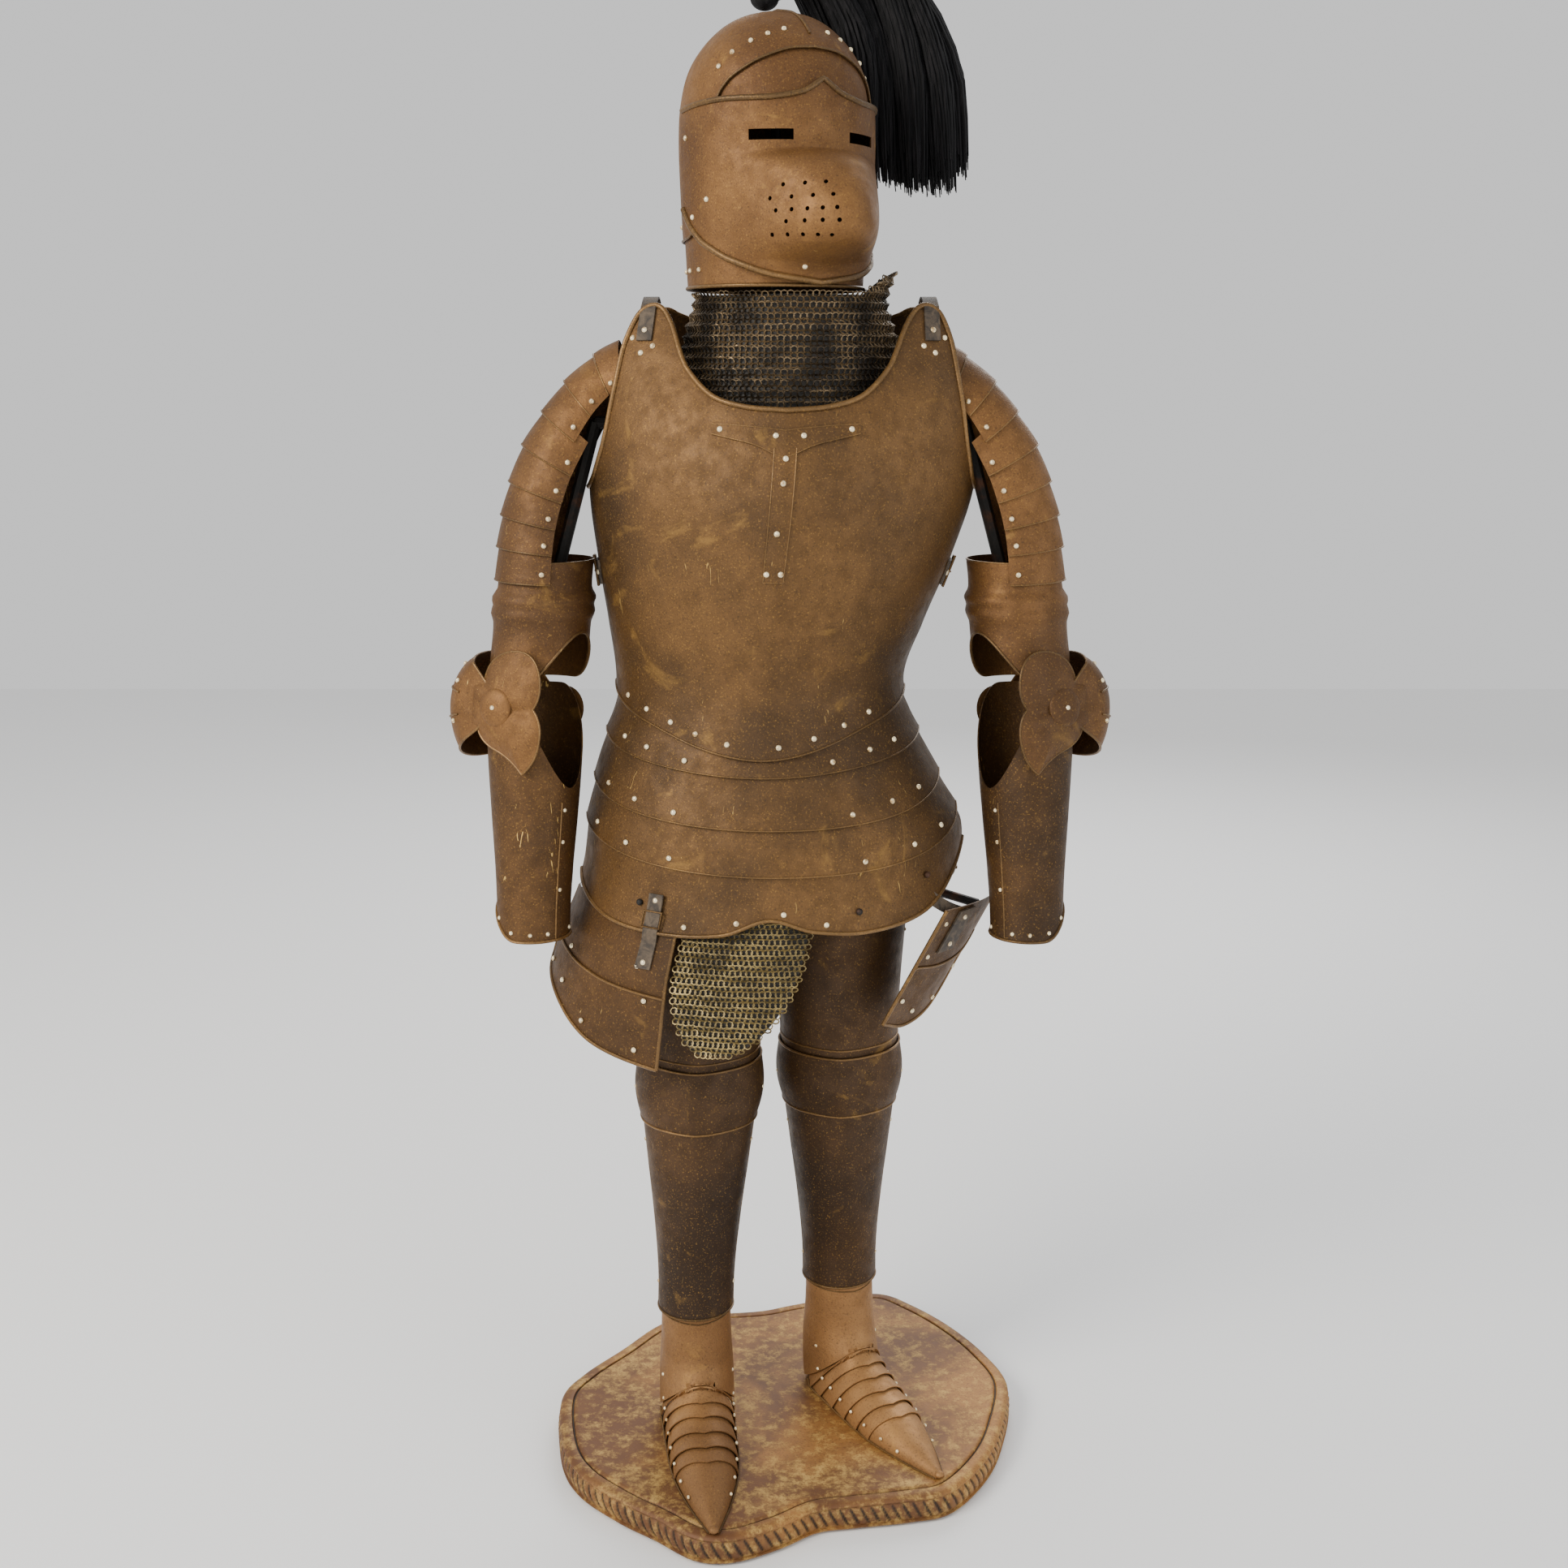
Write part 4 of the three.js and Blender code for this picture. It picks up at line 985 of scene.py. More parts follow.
@dataclass(frozen=True)
class Sabaton:
    """One foot: ankle plate, six pointed lames and a toe cap, with a row of rivets on each side."""

    side: str
    x: float
    y: float
    turn: float
    wall: float = 1.4
    ankle_end: float = 3.2
    # Each lame from the ankle on: the stations of its back and front edges
    lames: tuple[tuple[float, float], ...] = (
        (3.08, 3.55), (3.4, 4.1), (3.95, 4.65), (4.5, 5.2), (5.05, 5.72), (5.6, 6.2),
    )
    cap_start: float = 6.05
    # The small round end of the toe: its middle and its half sizes
    tip: tuple[float, float, float] = (0, -271, 45.2)
    tip_size: tuple[float, float, float] = (6.4, 6, 4.6)
    rivets: tuple[float, ...] = (2.4, 3.1, 3.7, 4.2, 4.75, 5.3, 5.9, 6.5, 7.0)
    rivet_turn: float = 68

    def surface(self) -> Surface:
        """The foot's top at its place."""
        return placed(foot, self.x, self.y, self.turn)

    def strip(
        self,
        stations: tuple[float, float],
        lifts: tuple[float, float],
        rows: int,
        turns: tuple[float, float] = (-90, 90),
        columns: int = 48,
    ) -> bmesh.types.BMesh:
        """A plate between two stations.

        Args:
            stations: Where it starts and ends.
            lifts: The lift of its back edge and of its front one.
            rows: Spans along the foot.
            turns: How far it goes round.
            columns: Spans round the foot.

        Returns:
            The plate.
        """
        top = self.surface()
        first, last = stations
        back, front = lifts

        def outer(turn: float, place: float) -> Vector:
            """The foot's top, numbered from the toe."""
            return top(turn, -place)

        def lift(_turn: float, share: float) -> float:
            """The lift between the two edges."""
            return mix(front, back, share)

        return Plate(outer, turns, -last, -first, columns, rows, self.wall, lift).build()

    def build(self) -> None:
        """Makes the foot's pieces."""
        name = f"sabaton_{self.side}"
        ankle = self.strip((0, self.ankle_end), (0, 0.4), 26, ROUND, 96)
        piece(f"{name}_ankle_plate", ankle, FOOT_STEEL, [f"{name}_ankle"])
        strips = [self.strip(lame, (-4.4, 0.2), 6) for lame in self.lames]
        piece(f"{name}_pointed_lames", merged(strips), FOOT_STEEL, [f"{name}_lames"])
        cap = self.strip((self.cap_start, STATIONS), (-2.6, -0.4), 22)
        spin = Matrix.Rotation(math.radians(self.turn), 4, "Z")
        place = Matrix.Translation((self.x * MM, self.y * MM, 0)) @ spin
        size = Matrix.Diagonal((*(Vector(self.tip_size) * MM), 1))
        tip = place @ Matrix.Translation(Vector(self.tip) * MM) @ size
        bmesh.ops.create_uvsphere(cap, u_segments=24, v_segments=12, radius=1, matrix=tip)
        piece(f"{name}_toe_cap", cap, FOOT_STEEL, [f"{name}_toe"])
        top = self.surface()
        bars = []
        for turn in (-90, 90):
            edge = [top(turn, place) + Vector((0, 0, 0.6)) for place in spread(3.3, 7.98, 40)]
            bars.append(Tube(edge, 1.3))
        bars.append(Tube([top(turn, 0.02) for turn in spread(-90, 90, 40)], 1.6))
        bars.append(Tube([spot(top, turn, 0.5, 0.2, -FINE).point for turn in spread(-88, 88, 40)], 0.9))
        edging(f"{name}_edges", bars)
        turns = (-self.rivet_turn, self.rivet_turn)
        spots = [spot(top, turn, place, 0.4, -FINE) for turn in turns for place in self.rivets]
        riveting(f"{name}_rivets", spots, 2.5, 2)


LEG = Profile(
    ("z", "half", "front", "back", "keel"),
    (
        (200, 50, 50, 50, 0),
        (255, 51, 51, 54, 0),
        (330, 58, 60, 68, 2),
        (410, 68, 68, 76, 4),
        (480, 76, 74, 74, 5),
        (540, 79, 78, 74, 5),
        (620, 82, 84, 82, 3),
        (750, 93, 94, 90, 0),
    ),
)
LEG_LOW = 213
LEG_HIGH = 745


@dataclass(frozen=True)
class Leg:
    """One leg: greave, knee band and cuisse, with their rolled edges, ridges and hinges."""

    side: str
    foot: tuple[float, float]
    hip: tuple[float, float]
    ridge_turn: float = 30
    # Rivets: turn, height and lift
    rivets: tuple[tuple[float, float, float], ...] = (
        (-84, 236, 0.2), (84, 236, 0.2), (-84, 430, 0.2), (84, 430, 0.2), (-80, 504, 8), (80, 504, 8),
        (-84, 590, 0.2), (84, 590, 0.2), (-84, 700, 0.2), (84, 700, 0.2), (152, 470, 3.4), (-152, 470, 3.4),
    )
    # Beads round the leg: height, lift and radius
    beads: tuple[tuple[float, float, float], ...] = (
        (204, 0.4, 1.5), (463, 2.8, 1.6), (545, 2.8, 1.6), (556, 0.2, 1.3), (747, 0.2, 1.8),
    )

    def surface(self, turn: float, z: float) -> Vector:
        """The outer face of the leg at a turn and a height."""
        _, half, front, back, keel = LEG.at(z)
        climb = (z - LEG_LOW) / (LEG_HIGH - LEG_LOW)
        x, y = (mix(a, b, climb) for a, b in zip(self.foot, self.hip))
        ridge = keel * max(0, 1 - abs(turn) / self.ridge_turn)
        return oval(turn, x, y, half, front + ridge if in_front(turn) else back, z)

    def ring(self, z: float, lift: float, radius: float) -> Tube:
        """A bead round the leg."""
        turns = spread(*ROUND, 72)[:-1]
        return Tube([spot(self.surface, turn, z, lift).point for turn in turns], radius, True)

    def shell(self, low: float, high: float, rows: int, lift: Lift | float = 0.0) -> bmesh.types.BMesh:
        """A closed plate round the leg between two heights."""
        return Plate(self.surface, ROUND, low, high, 72, rows, WALL, lift).build()

    def build(self) -> None:
        """Makes the leg's pieces."""
        name = self.side
        piece(f"greave_{name}_plate", self.shell(203, 500, 48), LEG_STEEL_PAINTED_SHADE, [f"greave_{name}"])
        piece(f"cuisse_{name}_plate", self.shell(510, 748, 36), LEG_STEEL_PAINTED_SHADE, [f"cuisse_{name}"])
        band = self.shell(462, 546, 24, self.bulge)
        piece(f"knee_band_{name}_plate", band, LEG_STEEL_PAINTED_SHADE, [f"knee_band_{name}"])
        bars = [self.ring(*bead) for bead in self.beads]
        for turn in (-90, 90):
            for low, high in ((208, 458), (552, 744)):
                seam = [spot(self.surface, turn, z, 0.1).point for z in spread(low, high, 24)]
                bars.append(Tube(seam, 0.8))
        edging(f"leg_{name}_edges", bars)
        spots = [spot(self.surface, *rivet) for rivet in self.rivets]
        riveting(f"leg_{name}_rivets", spots, 2.8, 2)

    def bulge(self, turn: float, share: float) -> float:
        """The knee band's swell, with a soft ridge down the front."""
        ridge = 2.2 * math.exp(-((turn / 9) ** 2)) * math.sin(math.pi * share)
        return 2.6 + 6 * math.sin(math.pi * share) + ridge


# Trunk

BREAST_TOP = Profile(
    ("turn", "z"),
    (
        (-90, 1289), (-80, 1291), (-72, 1306), (-66, 1342), (-62, 1400), (-58, 1462), (-52, 1499),
        (-44, 1508), (-38, 1488), (-31, 1436), (-22, 1402), (-12, 1389), (0, 1385),
    ),
)
BACK_TOP = Profile(
    ("turn", "z"),
    (
        (-90, 1289), (-80, 1291), (-72, 1306), (-66, 1342), (-62, 1400), (-58, 1462), (-52, 1499),
        (-44, 1508), (-38, 1502), (-22, 1480), (0, 1474),
    ),
)
BREAST_HEM = Profile(("turn", "z"), ((-90, 1042), (-45, 1004), (0, 969), (45, 1004), (90, 1038)))
FAULD_HEMS = (
    Profile(("turn", "z"), ((-90, 986), (-45, 960), (0, 948), (45, 960), (90, 986))),
    Profile(("turn", "z"), ((-90, 926), (-45, 896), (0, 886), (45, 896), (90, 932))),
    Profile(("turn", "z"), ((-90, 872), (-45, 840), (0, 830), (45, 840), (90, 890))),
    Profile(
        ("turn", "z"),
        (
            (-90, 800), (-70, 776), (-50, 757), (-28, 752), (-12, 758), (0, 777),
            (12, 762), (28, 756), (50, 768), (70, 802), (90, 852),
        ),
    ),
)


def breast_top(turn: float) -> float:
    """The height of the breastplate's top edge."""
    return BREAST_TOP.at(-abs(turn))[1]


def back_top(turn: float) -> float:
    """The height of the backplate's top edge."""
    return BACK_TOP.at(-abs(turn - 180))[1]


@dataclass(frozen=True)
class Cuirass:
    """Breastplate, backplate, their rolled edges, straps and rivets."""

    front: tuple[float, float] = (-89, 87)
    rear: tuple[float, float] = (92, 268)
    rear_low: float = 1030
    neck_roll: float = 3.4
    hem_roll: float = 1.4
    hem_rivets: tuple[float, ...] = (-62, -48, -35, -24, -12, 6, 19, 32, 45)
    hem_rise: float = 14
    # Rivets at the shoulder straps' ends: turn and height
    tabs: tuple[tuple[float, float], ...] = ((54, 1470), (49, 1452), (44, 1460))
    # The Y-shaped strap: its stem's sides and ends, its wings' reach and half width, wall and lift
    stem: tuple[float, float] = (-2.8, 3.2)
    stem_low: float = 1186
    stem_high: float = 1362
    wing_turn: float = 21
    wing_half: float = 10
    strap_wall: float = 1.6
    strap_lift: float = 2
    # Rivets of the Y-shaped strap: turn and height
    strap_rivets: tuple[tuple[float, float], ...] = (
        (-18.5, 1363), (-2.6, 1356), (5, 1356), (18.5, 1363), (0.4, 1330), (0.2, 1302), (-0.2, 1244),
        (-2, 1196), (2.2, 1196),
    )
    # The side straps: half their sweep, their edges and their middle
    side_turn: float = 12
    side_low: float = 1168
    side_high: float = 1198
    side_middle: float = 1183
    # The shoulder straps: turn, half their sweep, their end and the trunk's top
    over_turn: float = 48
    over_half: float = 3.4
    over_low: float = 1466
    over_high: float = 1506

    def along(self, turns: tuple[float, float], steps: int) -> list[float]:
        """The turns of an edge bar, which ends just short of its plate's corners."""
        return spread(turns[0] + 0.5, turns[1] - 0.5, steps)

    def build(self) -> None:
        """Makes the cuirass."""
        hem = BREAST_HEM.edge()
        front = Plate(trunk, self.front, hem, breast_top, 126, 46)
        piece("breastplate_plate", front.build(), TRUNK_STEEL, ["breastplate"])
        rear = Plate(trunk, self.rear, self.rear_low, back_top, 130, 40)
        piece("backplate_plate", rear.build(), TRUNK_STEEL, ["backplate"])
        bars = [
            Tube(line_on(trunk, self.along(self.front, 170), breast_top, 0.6), self.neck_roll),
            Tube(line_on(trunk, self.along(self.rear, 150), back_top, 0.4), self.neck_roll * 0.8),
            Tube(line_on(trunk, self.along(self.front, 90), hem, 0.3), self.hem_roll),
            Tube(line_on(trunk, self.along(self.rear, 90), self.rear_low + 1, 0.2), self.hem_roll),
        ]
        edging("cuirass_rolled_edges", bars, 3)
        spots = [spot(trunk, turn, hem(turn) + self.hem_rise, 0.4) for turn in self.hem_rivets]
        spots += [spot(trunk, turn, self.rear_low + 16, 0.4) for turn in range(106, 256, 16)]
        sides = (self.rear[0] + 4, self.rear[1] - 4)
        spots += [spot(trunk, turn, z, 0.4) for turn in sides for z in (1090, 1160, 1230)]
        for sign in (-1, 1):
            spots += [spot(trunk, sign * turn, z, 0.4) for turn, z in self.tabs]
            spots += [spot(trunk, 180 - sign * turn, z, 0.4) for turn, z in (self.tabs[0], self.tabs[2])]
        riveting("cuirass_rivets", spots)
        self.breast_strap()
        self.side_straps()
        self.shoulder_straps()

    def breast_strap(self) -> None:
        """The Y-shaped strap of steel down the keel, with its rivets."""
        low = self.stem_low
        lift = self.strap_lift
        reach = self.wing_turn
        stem = Plate(trunk, self.stem, low, self.stem_high, 8, 40, self.strap_wall, lift)

        def wing_face(turn: float, place: float) -> Vector:
            """The wing's outer face: it scallops down towards the stem."""
            scallop = 10 * math.exp(-((turn / 6) ** 2))
            narrow = 1 - 0.45 * min(1, abs(turn) / reach) ** 2
            return trunk(turn, 1352 + 0.55 * abs(turn) + place * narrow - (scallop if place < 0 else 0))

        half = self.wing_half
        wings = Plate(wing_face, (-reach, reach), -half, half, 60, 6, self.strap_wall, lift)
        made = merged([stem.build(), wings.build()])
        turns = spread(-reach, reach, 60)
        lines = [[spot(wing_face, turn, side, lift, 0.5).point for turn in turns] for side in (-half, half)]
        for turn in self.stem:
            lines.append([spot(trunk, turn, z, lift).point for z in spread(low, self.stem_high - 20, 40)])
        lines.append([spot(trunk, turn, low, lift).point for turn in (self.stem[0], 0, self.stem[1])])
        edging("breast_strap_edges", [Tube(line, 0.8) for line in lines])
        piece("breast_strap_steel", made, TRUNK_STEEL, ["breast_strap"])
        riveting("breast_strap_rivets", [spot(trunk, turn, z, lift + 0.4) for turn, z in self.strap_rivets])

    def side_straps(self) -> None:
        """A leather strap with a buckle under each arm."""
        for side, middle in (("left", 90), ("right", -90)):
            sweep = (middle - self.side_turn, middle + self.side_turn)
            strap = Plate(trunk, sweep, self.side_low, self.side_high, 24, 6, HIDE, HIDE + GAP)
            piece(f"side_strap_{side}_leather", strap.build(), LEATHER, [f"side_strap_{side}"])
            turns = (middle - 2.5, middle + 2.5)
            low, high = self.side_low - 4, self.side_high + 4
            corners = [(turns[0], low), (turns[1], low), (turns[1], high), (turns[0], high)]
            loop = [spot(trunk, turn, z, HIDE + 3).point for turn, z in corners]
            tongue = [spot(trunk, turn, self.side_middle, HIDE + 4).point for turn in turns]
            edging(f"side_strap_{side}_buckle", [Tube(loop, 1.7, True), Tube(tongue, 1.2)])
            ends = [spot(trunk, middle + turn, self.side_middle, HIDE + 0.6) for turn in (-10, 10)]
            riveting(f"side_strap_{side}_rivets", ends)

    def shoulder_straps(self) -> None:
        """A leather strap over each shoulder."""
        low, high = self.over_low, self.over_high

        def over(turn: float, place: float) -> Vector:
            """The strap's path from the front tab at 0 to the back one at 3."""
            far = math.copysign(180, turn) - turn
            if place <= 1:
                return trunk(turn, mix(low, high, place))
            if place >= 2:
                return trunk(far, mix(high, low, place - 2))
            made = toward(trunk(turn, high), trunk(far, high), place - 1)
            made.z += 12 * math.sin(math.pi * (place - 1))
            return made

        for side, middle in (("right", -self.over_turn), ("left", self.over_turn)):
            sweep = (middle - self.over_half, middle + self.over_half)
            strap = Plate(over, sweep, 0, 3, 8, 48, HIDE, HIDE + GAP + 0.3)
            name = f"shoulder_strap_{side}"
            piece(f"{name}_leather", strap.build(), LEATHER, [name])
            riveting(f"{name}_rivets", [spot(over, middle, place, HIDE + 1, FINE) for place in (0.3, 2.7)])


@dataclass(frozen=True)
class Fauld:
    """The four waist lames in front and the plates behind."""

    reach: float = 84
    # The rivets of each lame: turn and height over its hem
    rows: tuple[tuple[tuple[float, float], ...], ...] = (
        ((-58, 16), (-44, 16), (-27, 12), (24, 12), (40, 16), (54, 16)),
        ((-62, 16), (-46, 15), (-30, 12), (26, 12), (42, 16), (57, 16)),
        ((-66, 16), (-48, 15), (-31, 12), (27, 12), (45, 16), (60, 16)),
        ((-24, 11), (-9, 10), (4, 10), (16, 10)),
    )
    # Empty stud holes, filled with dark iron domes as painted shade: turn and height
    vacant: tuple[tuple[float, float], ...] = ((52, 812), (26, 782), (-40, 786))
    culet_turns: tuple[float, float] = (75.6, 284.4)
    culet_wall: float = 1.3
    culet_hem: float = 790
    culet_lift: float = -(TUCK + WALL + 0.9)

    def tuck(self, _turn: float, share: float) -> float:
        """How a lame's upper part goes under the one above it."""
        return mix(0.4, -TUCK - 0.8, min(1, share * 1.6))

    def culet_tuck(self, _turn: float, share: float) -> float:
        """How a plate behind leans under the one above it."""
        return self.culet_lift - 1.4 * share

    def build(self) -> None:
        """Makes the lames, the culet and their edges and rivets."""
        hems = [BREAST_HEM, *FAULD_HEMS]
        edges = [hem.edge() for hem in hems]
        bars = []
        spots = []
        for i in range(1, len(hems)):
            low = edges[i]
            high = above(edges[i - 1], OVERLAP)
            lame = Plate(trunk, (-self.reach, self.reach), low, high, 96, 14, WALL, self.tuck)
            piece(f"fauld_lame_{i}_plate", lame.build(), TRUNK_STEEL, [f"fauld_lame_{i}"])
            turns = spread(0.4 - self.reach, self.reach - 0.4, 110)
            bars.append(Tube(line_on(trunk, turns, low, 0.6), 2.6 if i == 4 else 1.0))
            spots += [spot(trunk, turn, low(turn) + up, 0.4) for turn, up in self.rows[i - 1]]
        edging("fauld_edges", bars, 3)
        riveting("fauld_rivets", spots)
        holes = [spot(trunk, turn, z, 0.4) for turn, z in self.vacant]
        # Dark domes in the empty holes: painted shade
        piece("fauld_hole_shade_domes", studs(holes, 4.4, 4), IRON)
        self.culet(edges)

    def culet(self, edges: Sequence[Edge]) -> None:
        """The skirt of plates behind, with steps like the lames'."""
        last = len(edges) - 1
        ends = (self.reach, 360 - self.reach)

        def seam(i: int, turn: float) -> float:
            """The height of a seam behind, led on from both of its front ends. The last one is the hem."""
            across = min(max((turn - ends[0]) / (ends[1] - ends[0]), 0), 1)
            z = mix(edges[i](min(turn, ends[0])), edges[i](max(turn, ends[1]) - 360), across)
            return min(self.culet_hem, z - 6) if i == last else z

        bars = []
        parts = []
        spots = []
        for i in range(1, last + 1):
            low = partial(seam, i)
            high = above(partial(seam, i - 1), OVERLAP)
            plate = Plate(trunk, self.culet_turns, low, high, 96, 8, self.culet_wall, self.culet_tuck)
            parts.append(plate.build())
            line = line_on(trunk, spread(86, 274, 100), low, self.culet_lift + 0.5)
            bars.append(Tube(line, 2.2 if i == last else 1))
            turns = range(104, 260, 22)
            spots += [spot(trunk, turn, low(turn) + 12, self.culet_lift + 0.4) for turn in turns]
        piece("culet_plates", merged(parts), TRUNK_STEEL, ["culet"])
        edging("culet_edges", bars)
        riveting("culet_rivets", spots)


TASSET_HEM = Profile(("turn", "z"), ((-92, 668), (-70, 640), (-48, 600), (-24, 578)))
HANGING_TOP = 765
HANGING_WIDTH = 140
HANGING_HEM = Profile(("share", "z"), ((0, 612), (0.3, 596), (0.7, 606), (1, 640)))


def hanging(turn: float, z: float) -> Vector:
    """The left tasset's outer face, which hangs askew: the turn is a hundred times its share."""
    share = turn / 100
    bow = 16 * math.sin(math.pi * share)
    across = HANGING_WIDTH * share
    return Vector((206 - 0.52 * (HANGING_TOP - z) + 0.6 * HANGING_WIDTH * share + bow, across - 130, z))


@dataclass(frozen=True)
class Tassets:
    """The thigh plates and their straps."""

    def build(self) -> None:
        """Makes both tassets."""
        self.right()
        self.left()

    def right(self) -> None:
        """The wearer's right tasset: two lames with rolled borders."""
        hem = TASSET_HEM.edge()

        def top(turn: float) -> float:
            """The height of its top edge."""
            return mix(764, 786, min(1, (turn + 92) / 40))

        def middle(turn: float) -> float:
            """The height of the seam between its lames."""
            return mix(hem(turn), top(turn), 0.44)

        def step(turn: float, share: float) -> float:
            """A step where the upper lame lies over the lower."""
            return UNDER_FAULD + 1.6 / (1 + math.exp(-(share - 0.44 + 0.0006 * turn) * 120))

        # The tasset's darker steel is painted shade
        plate = Plate(trunk, (-92, -26), hem, top, 60, 60, WALL, step)
        piece("tasset_right_plate", plate.build(), FOREARM_STEEL_AND_TASSET_SHADE, ["tasset_right"])
        lift = UNDER_FAULD + 0.6
        turns = spread(-91.6, -26.4, 50)
        bars = [
            Tube(line_on(trunk, turns, hem, lift), 2.2),
            Tube([spot(trunk, -26.4, z, lift).point for z in spread(hem(-26.4), 770, 24)], 2.2),
            Tube([spot(trunk, -91.6, z, lift).point for z in spread(hem(-91.6), 762, 12)], 2.0),
            Tube(line_on(trunk, turns, middle, lift + 1.2), 1.7),
        ]
        edging("tasset_right_edges", bars)
        places = (
            (-66, 706), (-36, 708), (-32, 666), (-66, 660), (-33, 602), (-52, 622), (-80, 700), (-80, 672),
        )
        spots = [spot(trunk, turn, z, lift + 1.4) for turn, z in places]
        riveting("tasset_right_rivets", spots)

        def over(_turn: float, share: float) -> float:
            """The strap's lift: on the fauld above and on the tasset below."""
            rise = min(1, max(0, (share * 94 - 34) / 14))
            return mix(UNDER_FAULD + 1.6, 1, rise) + HIDE + GAP

        strap = Plate(trunk, (-36.4, -31.6), 706, 800, 8, 40, HIDE, over)
        piece("tasset_strap_right_leather", strap.build(), LEATHER, ["tasset_strap_right"])
        square = ((-37, 758), (-31, 758), (-31, 778), (-37, 778))
        corners = [spot(trunk, turn, z, 4.6).point for turn, z in square]
        edging("tasset_right_buckle", [Tube(corners, 1.6, True)])
        ends = [spot(trunk, -34, z, lift) for z, lift in ((792, HIDE + 1), (714, UNDER_FAULD + HIDE + 2.4))]
        riveting("tasset_strap_right_rivets", ends)

    def left(self) -> None:
        """The wearer's left tasset, which hangs askew from one strap."""

        def hem(turn: float) -> float:
            """The height of its lower edge."""
            return HANGING_HEM.at(turn / 100)[1]

        def top(turn: float) -> float:
            """The height of its upper edge."""
            return HANGING_TOP - 0.1 * turn

        def middle(turn: float) -> float:
            """The height of the seam between its lames."""
            return mix(hem(turn), top(turn), 0.5)

        def step(_turn: float, share: float) -> float:
            """The upper lame lies over the lower."""
            return 1.4 if share > 0.5 else 0

        # The tasset's darker steel is painted shade
        plate = Plate(hanging, (0, 100), hem, top, 40, 44, WALL, step)
        piece("tasset_left_plate", plate.build(), FOREARM_STEEL_AND_TASSET_SHADE, ["tasset_left"])
        turns = spread(0.5, 99.5, 40)
        bars = [
            Tube(line_on(hanging, turns, hem, 0.4), 2.2),
            Tube([spot(hanging, 0.5, z, 0.4).point for z in spread(hem(0.5), 764, 24)], 2.6),
            Tube([spot(hanging, 99.5, z, 0.4).point for z in spread(hem(99.5), 754, 24)], 2.2),
            Tube(line_on(hanging, turns, middle, 1.8), 1.7),
        ]
        edging("tasset_left_edges", bars)
        places = ((8, 640), (8, 700), (8, 744), (30, 616), (60, 620), (90, 650))
        riveting("tasset_left_rivets", [spot(hanging, turn, z, 1) for turn, z in places])
        high = trunk(50, 796)
        low = spot(hanging, 25, 752, HIDE + 2).point
        side = (high - low).cross(Vector((0.6, -1, 0))).normalized()

        def hanger(turn: float, place: float) -> Vector:
            """The strap that the tasset hangs from, with a little slack."""
            slack = Vector((0, 0, -6 * math.sin(math.pi * place)))
            return toward(low, high + Vector((-4, 7, 0)), place) + side * turn + slack

        loop = Plate(hanger, (-8, 8), 0, 1, 6, 24, HIDE)
        piece("tasset_left_hanger", loop.build(), LEATHER)
        strap = Plate(hanging, (16, 34), 702, 758, 8, 16, HIDE, HIDE + GAP + 1.4)
        piece("tasset_strap_left_leather", strap.build(), LEATHER, ["tasset_strap_left"])
        riveting("tasset_strap_left_rivets", [spot(hanging, 25, z, HIDE + 2) for z in (712, 748)])


# Mail


@dataclass(frozen=True)
class Ringwork:
    """Rings linked in rows: each row leans the other way."""

    pitch: float = 6.9
    rise: float = 6.5
    ring: float = 4.4
    wire: float = 0.95
    lean: float = 34
    corners: int = 8

    def row(
        self, surface: Surface, turns: Sequence[float], z: float, number: int, dice: random.Random
    ) -> list[Tube]:
        """One row of rings.

        Args:
            surface: The face that they lie on.
            turns: The turn of each ring.
            z: The row's height.
            number: The row's number.
            dice: Seeded random numbers for the small disorder.

        Returns:
            The rings as closed bars.
        """
        made = []
        sway = math.radians(self.lean) * (1 if number % 2 else -1)
        for turn in turns:
            place = spot(surface, turn, z + dice.uniform(-0.7, 0.7), 0)
            up = Vector((0, 0, 1))
            side = up.cross(place.out).normalized()
            up = place.out.cross(side).normalized()
            tilt = sway + dice.uniform(-0.16, 0.16)
            rise = up * math.cos(tilt) + place.out * math.sin(tilt)
            points = []
            for i in range(self.corners):
                a = 2 * math.pi * i / self.corners
                points.append(place.point + (side * math.cos(a) + rise * math.sin(a)) * self.ring)
            made.append(Tube(points, self.wire, True))
        return made


COLLAR = Profile(
    ("z", "half", "front", "back"),
    (
        (1382, 150, 128, 96),
        (1430, 142, 118, 92),
        (1480, 130, 108, 88),
        (1518, 120, 104, 92),
        (1546, 128, 108, 100),
    ),
)
COLLAR_X = 8


def collar(turn: float, z: float) -> Vector:
    """The mail collar's face, with shallow hanging folds."""
    _, half, front, back = COLLAR.at(z)
    a = math.radians(turn)
    wave = 2.2 * noise.noise(Vector((math.sin(a) * 2.4, math.cos(a) * 2.4, z / 60)))
    return oval(turn, COLLAR_X, 0, half + wave, (front if in_front(turn) else back) + wave, z)


FLAP_TOP = 828
FLAP_TIP = 602
FLAP_HALF = 18
FLAP_ROUND = 0.3


def brayette(turn: float, z: float) -> Vector:
    """The mail flap's face: the turn runs from -100 on the wearer's right to 100."""
    fall = (FLAP_TOP - z) / (FLAP_TOP - FLAP_TIP)
    end = min(1, max(0, fall - FLAP_ROUND) / (1 - FLAP_ROUND))
    half = FLAP_HALF * math.sqrt(1 - 0.98 * end * end)
    return trunk(mix(-3, -13, fall) + turn / 100 * half, z)


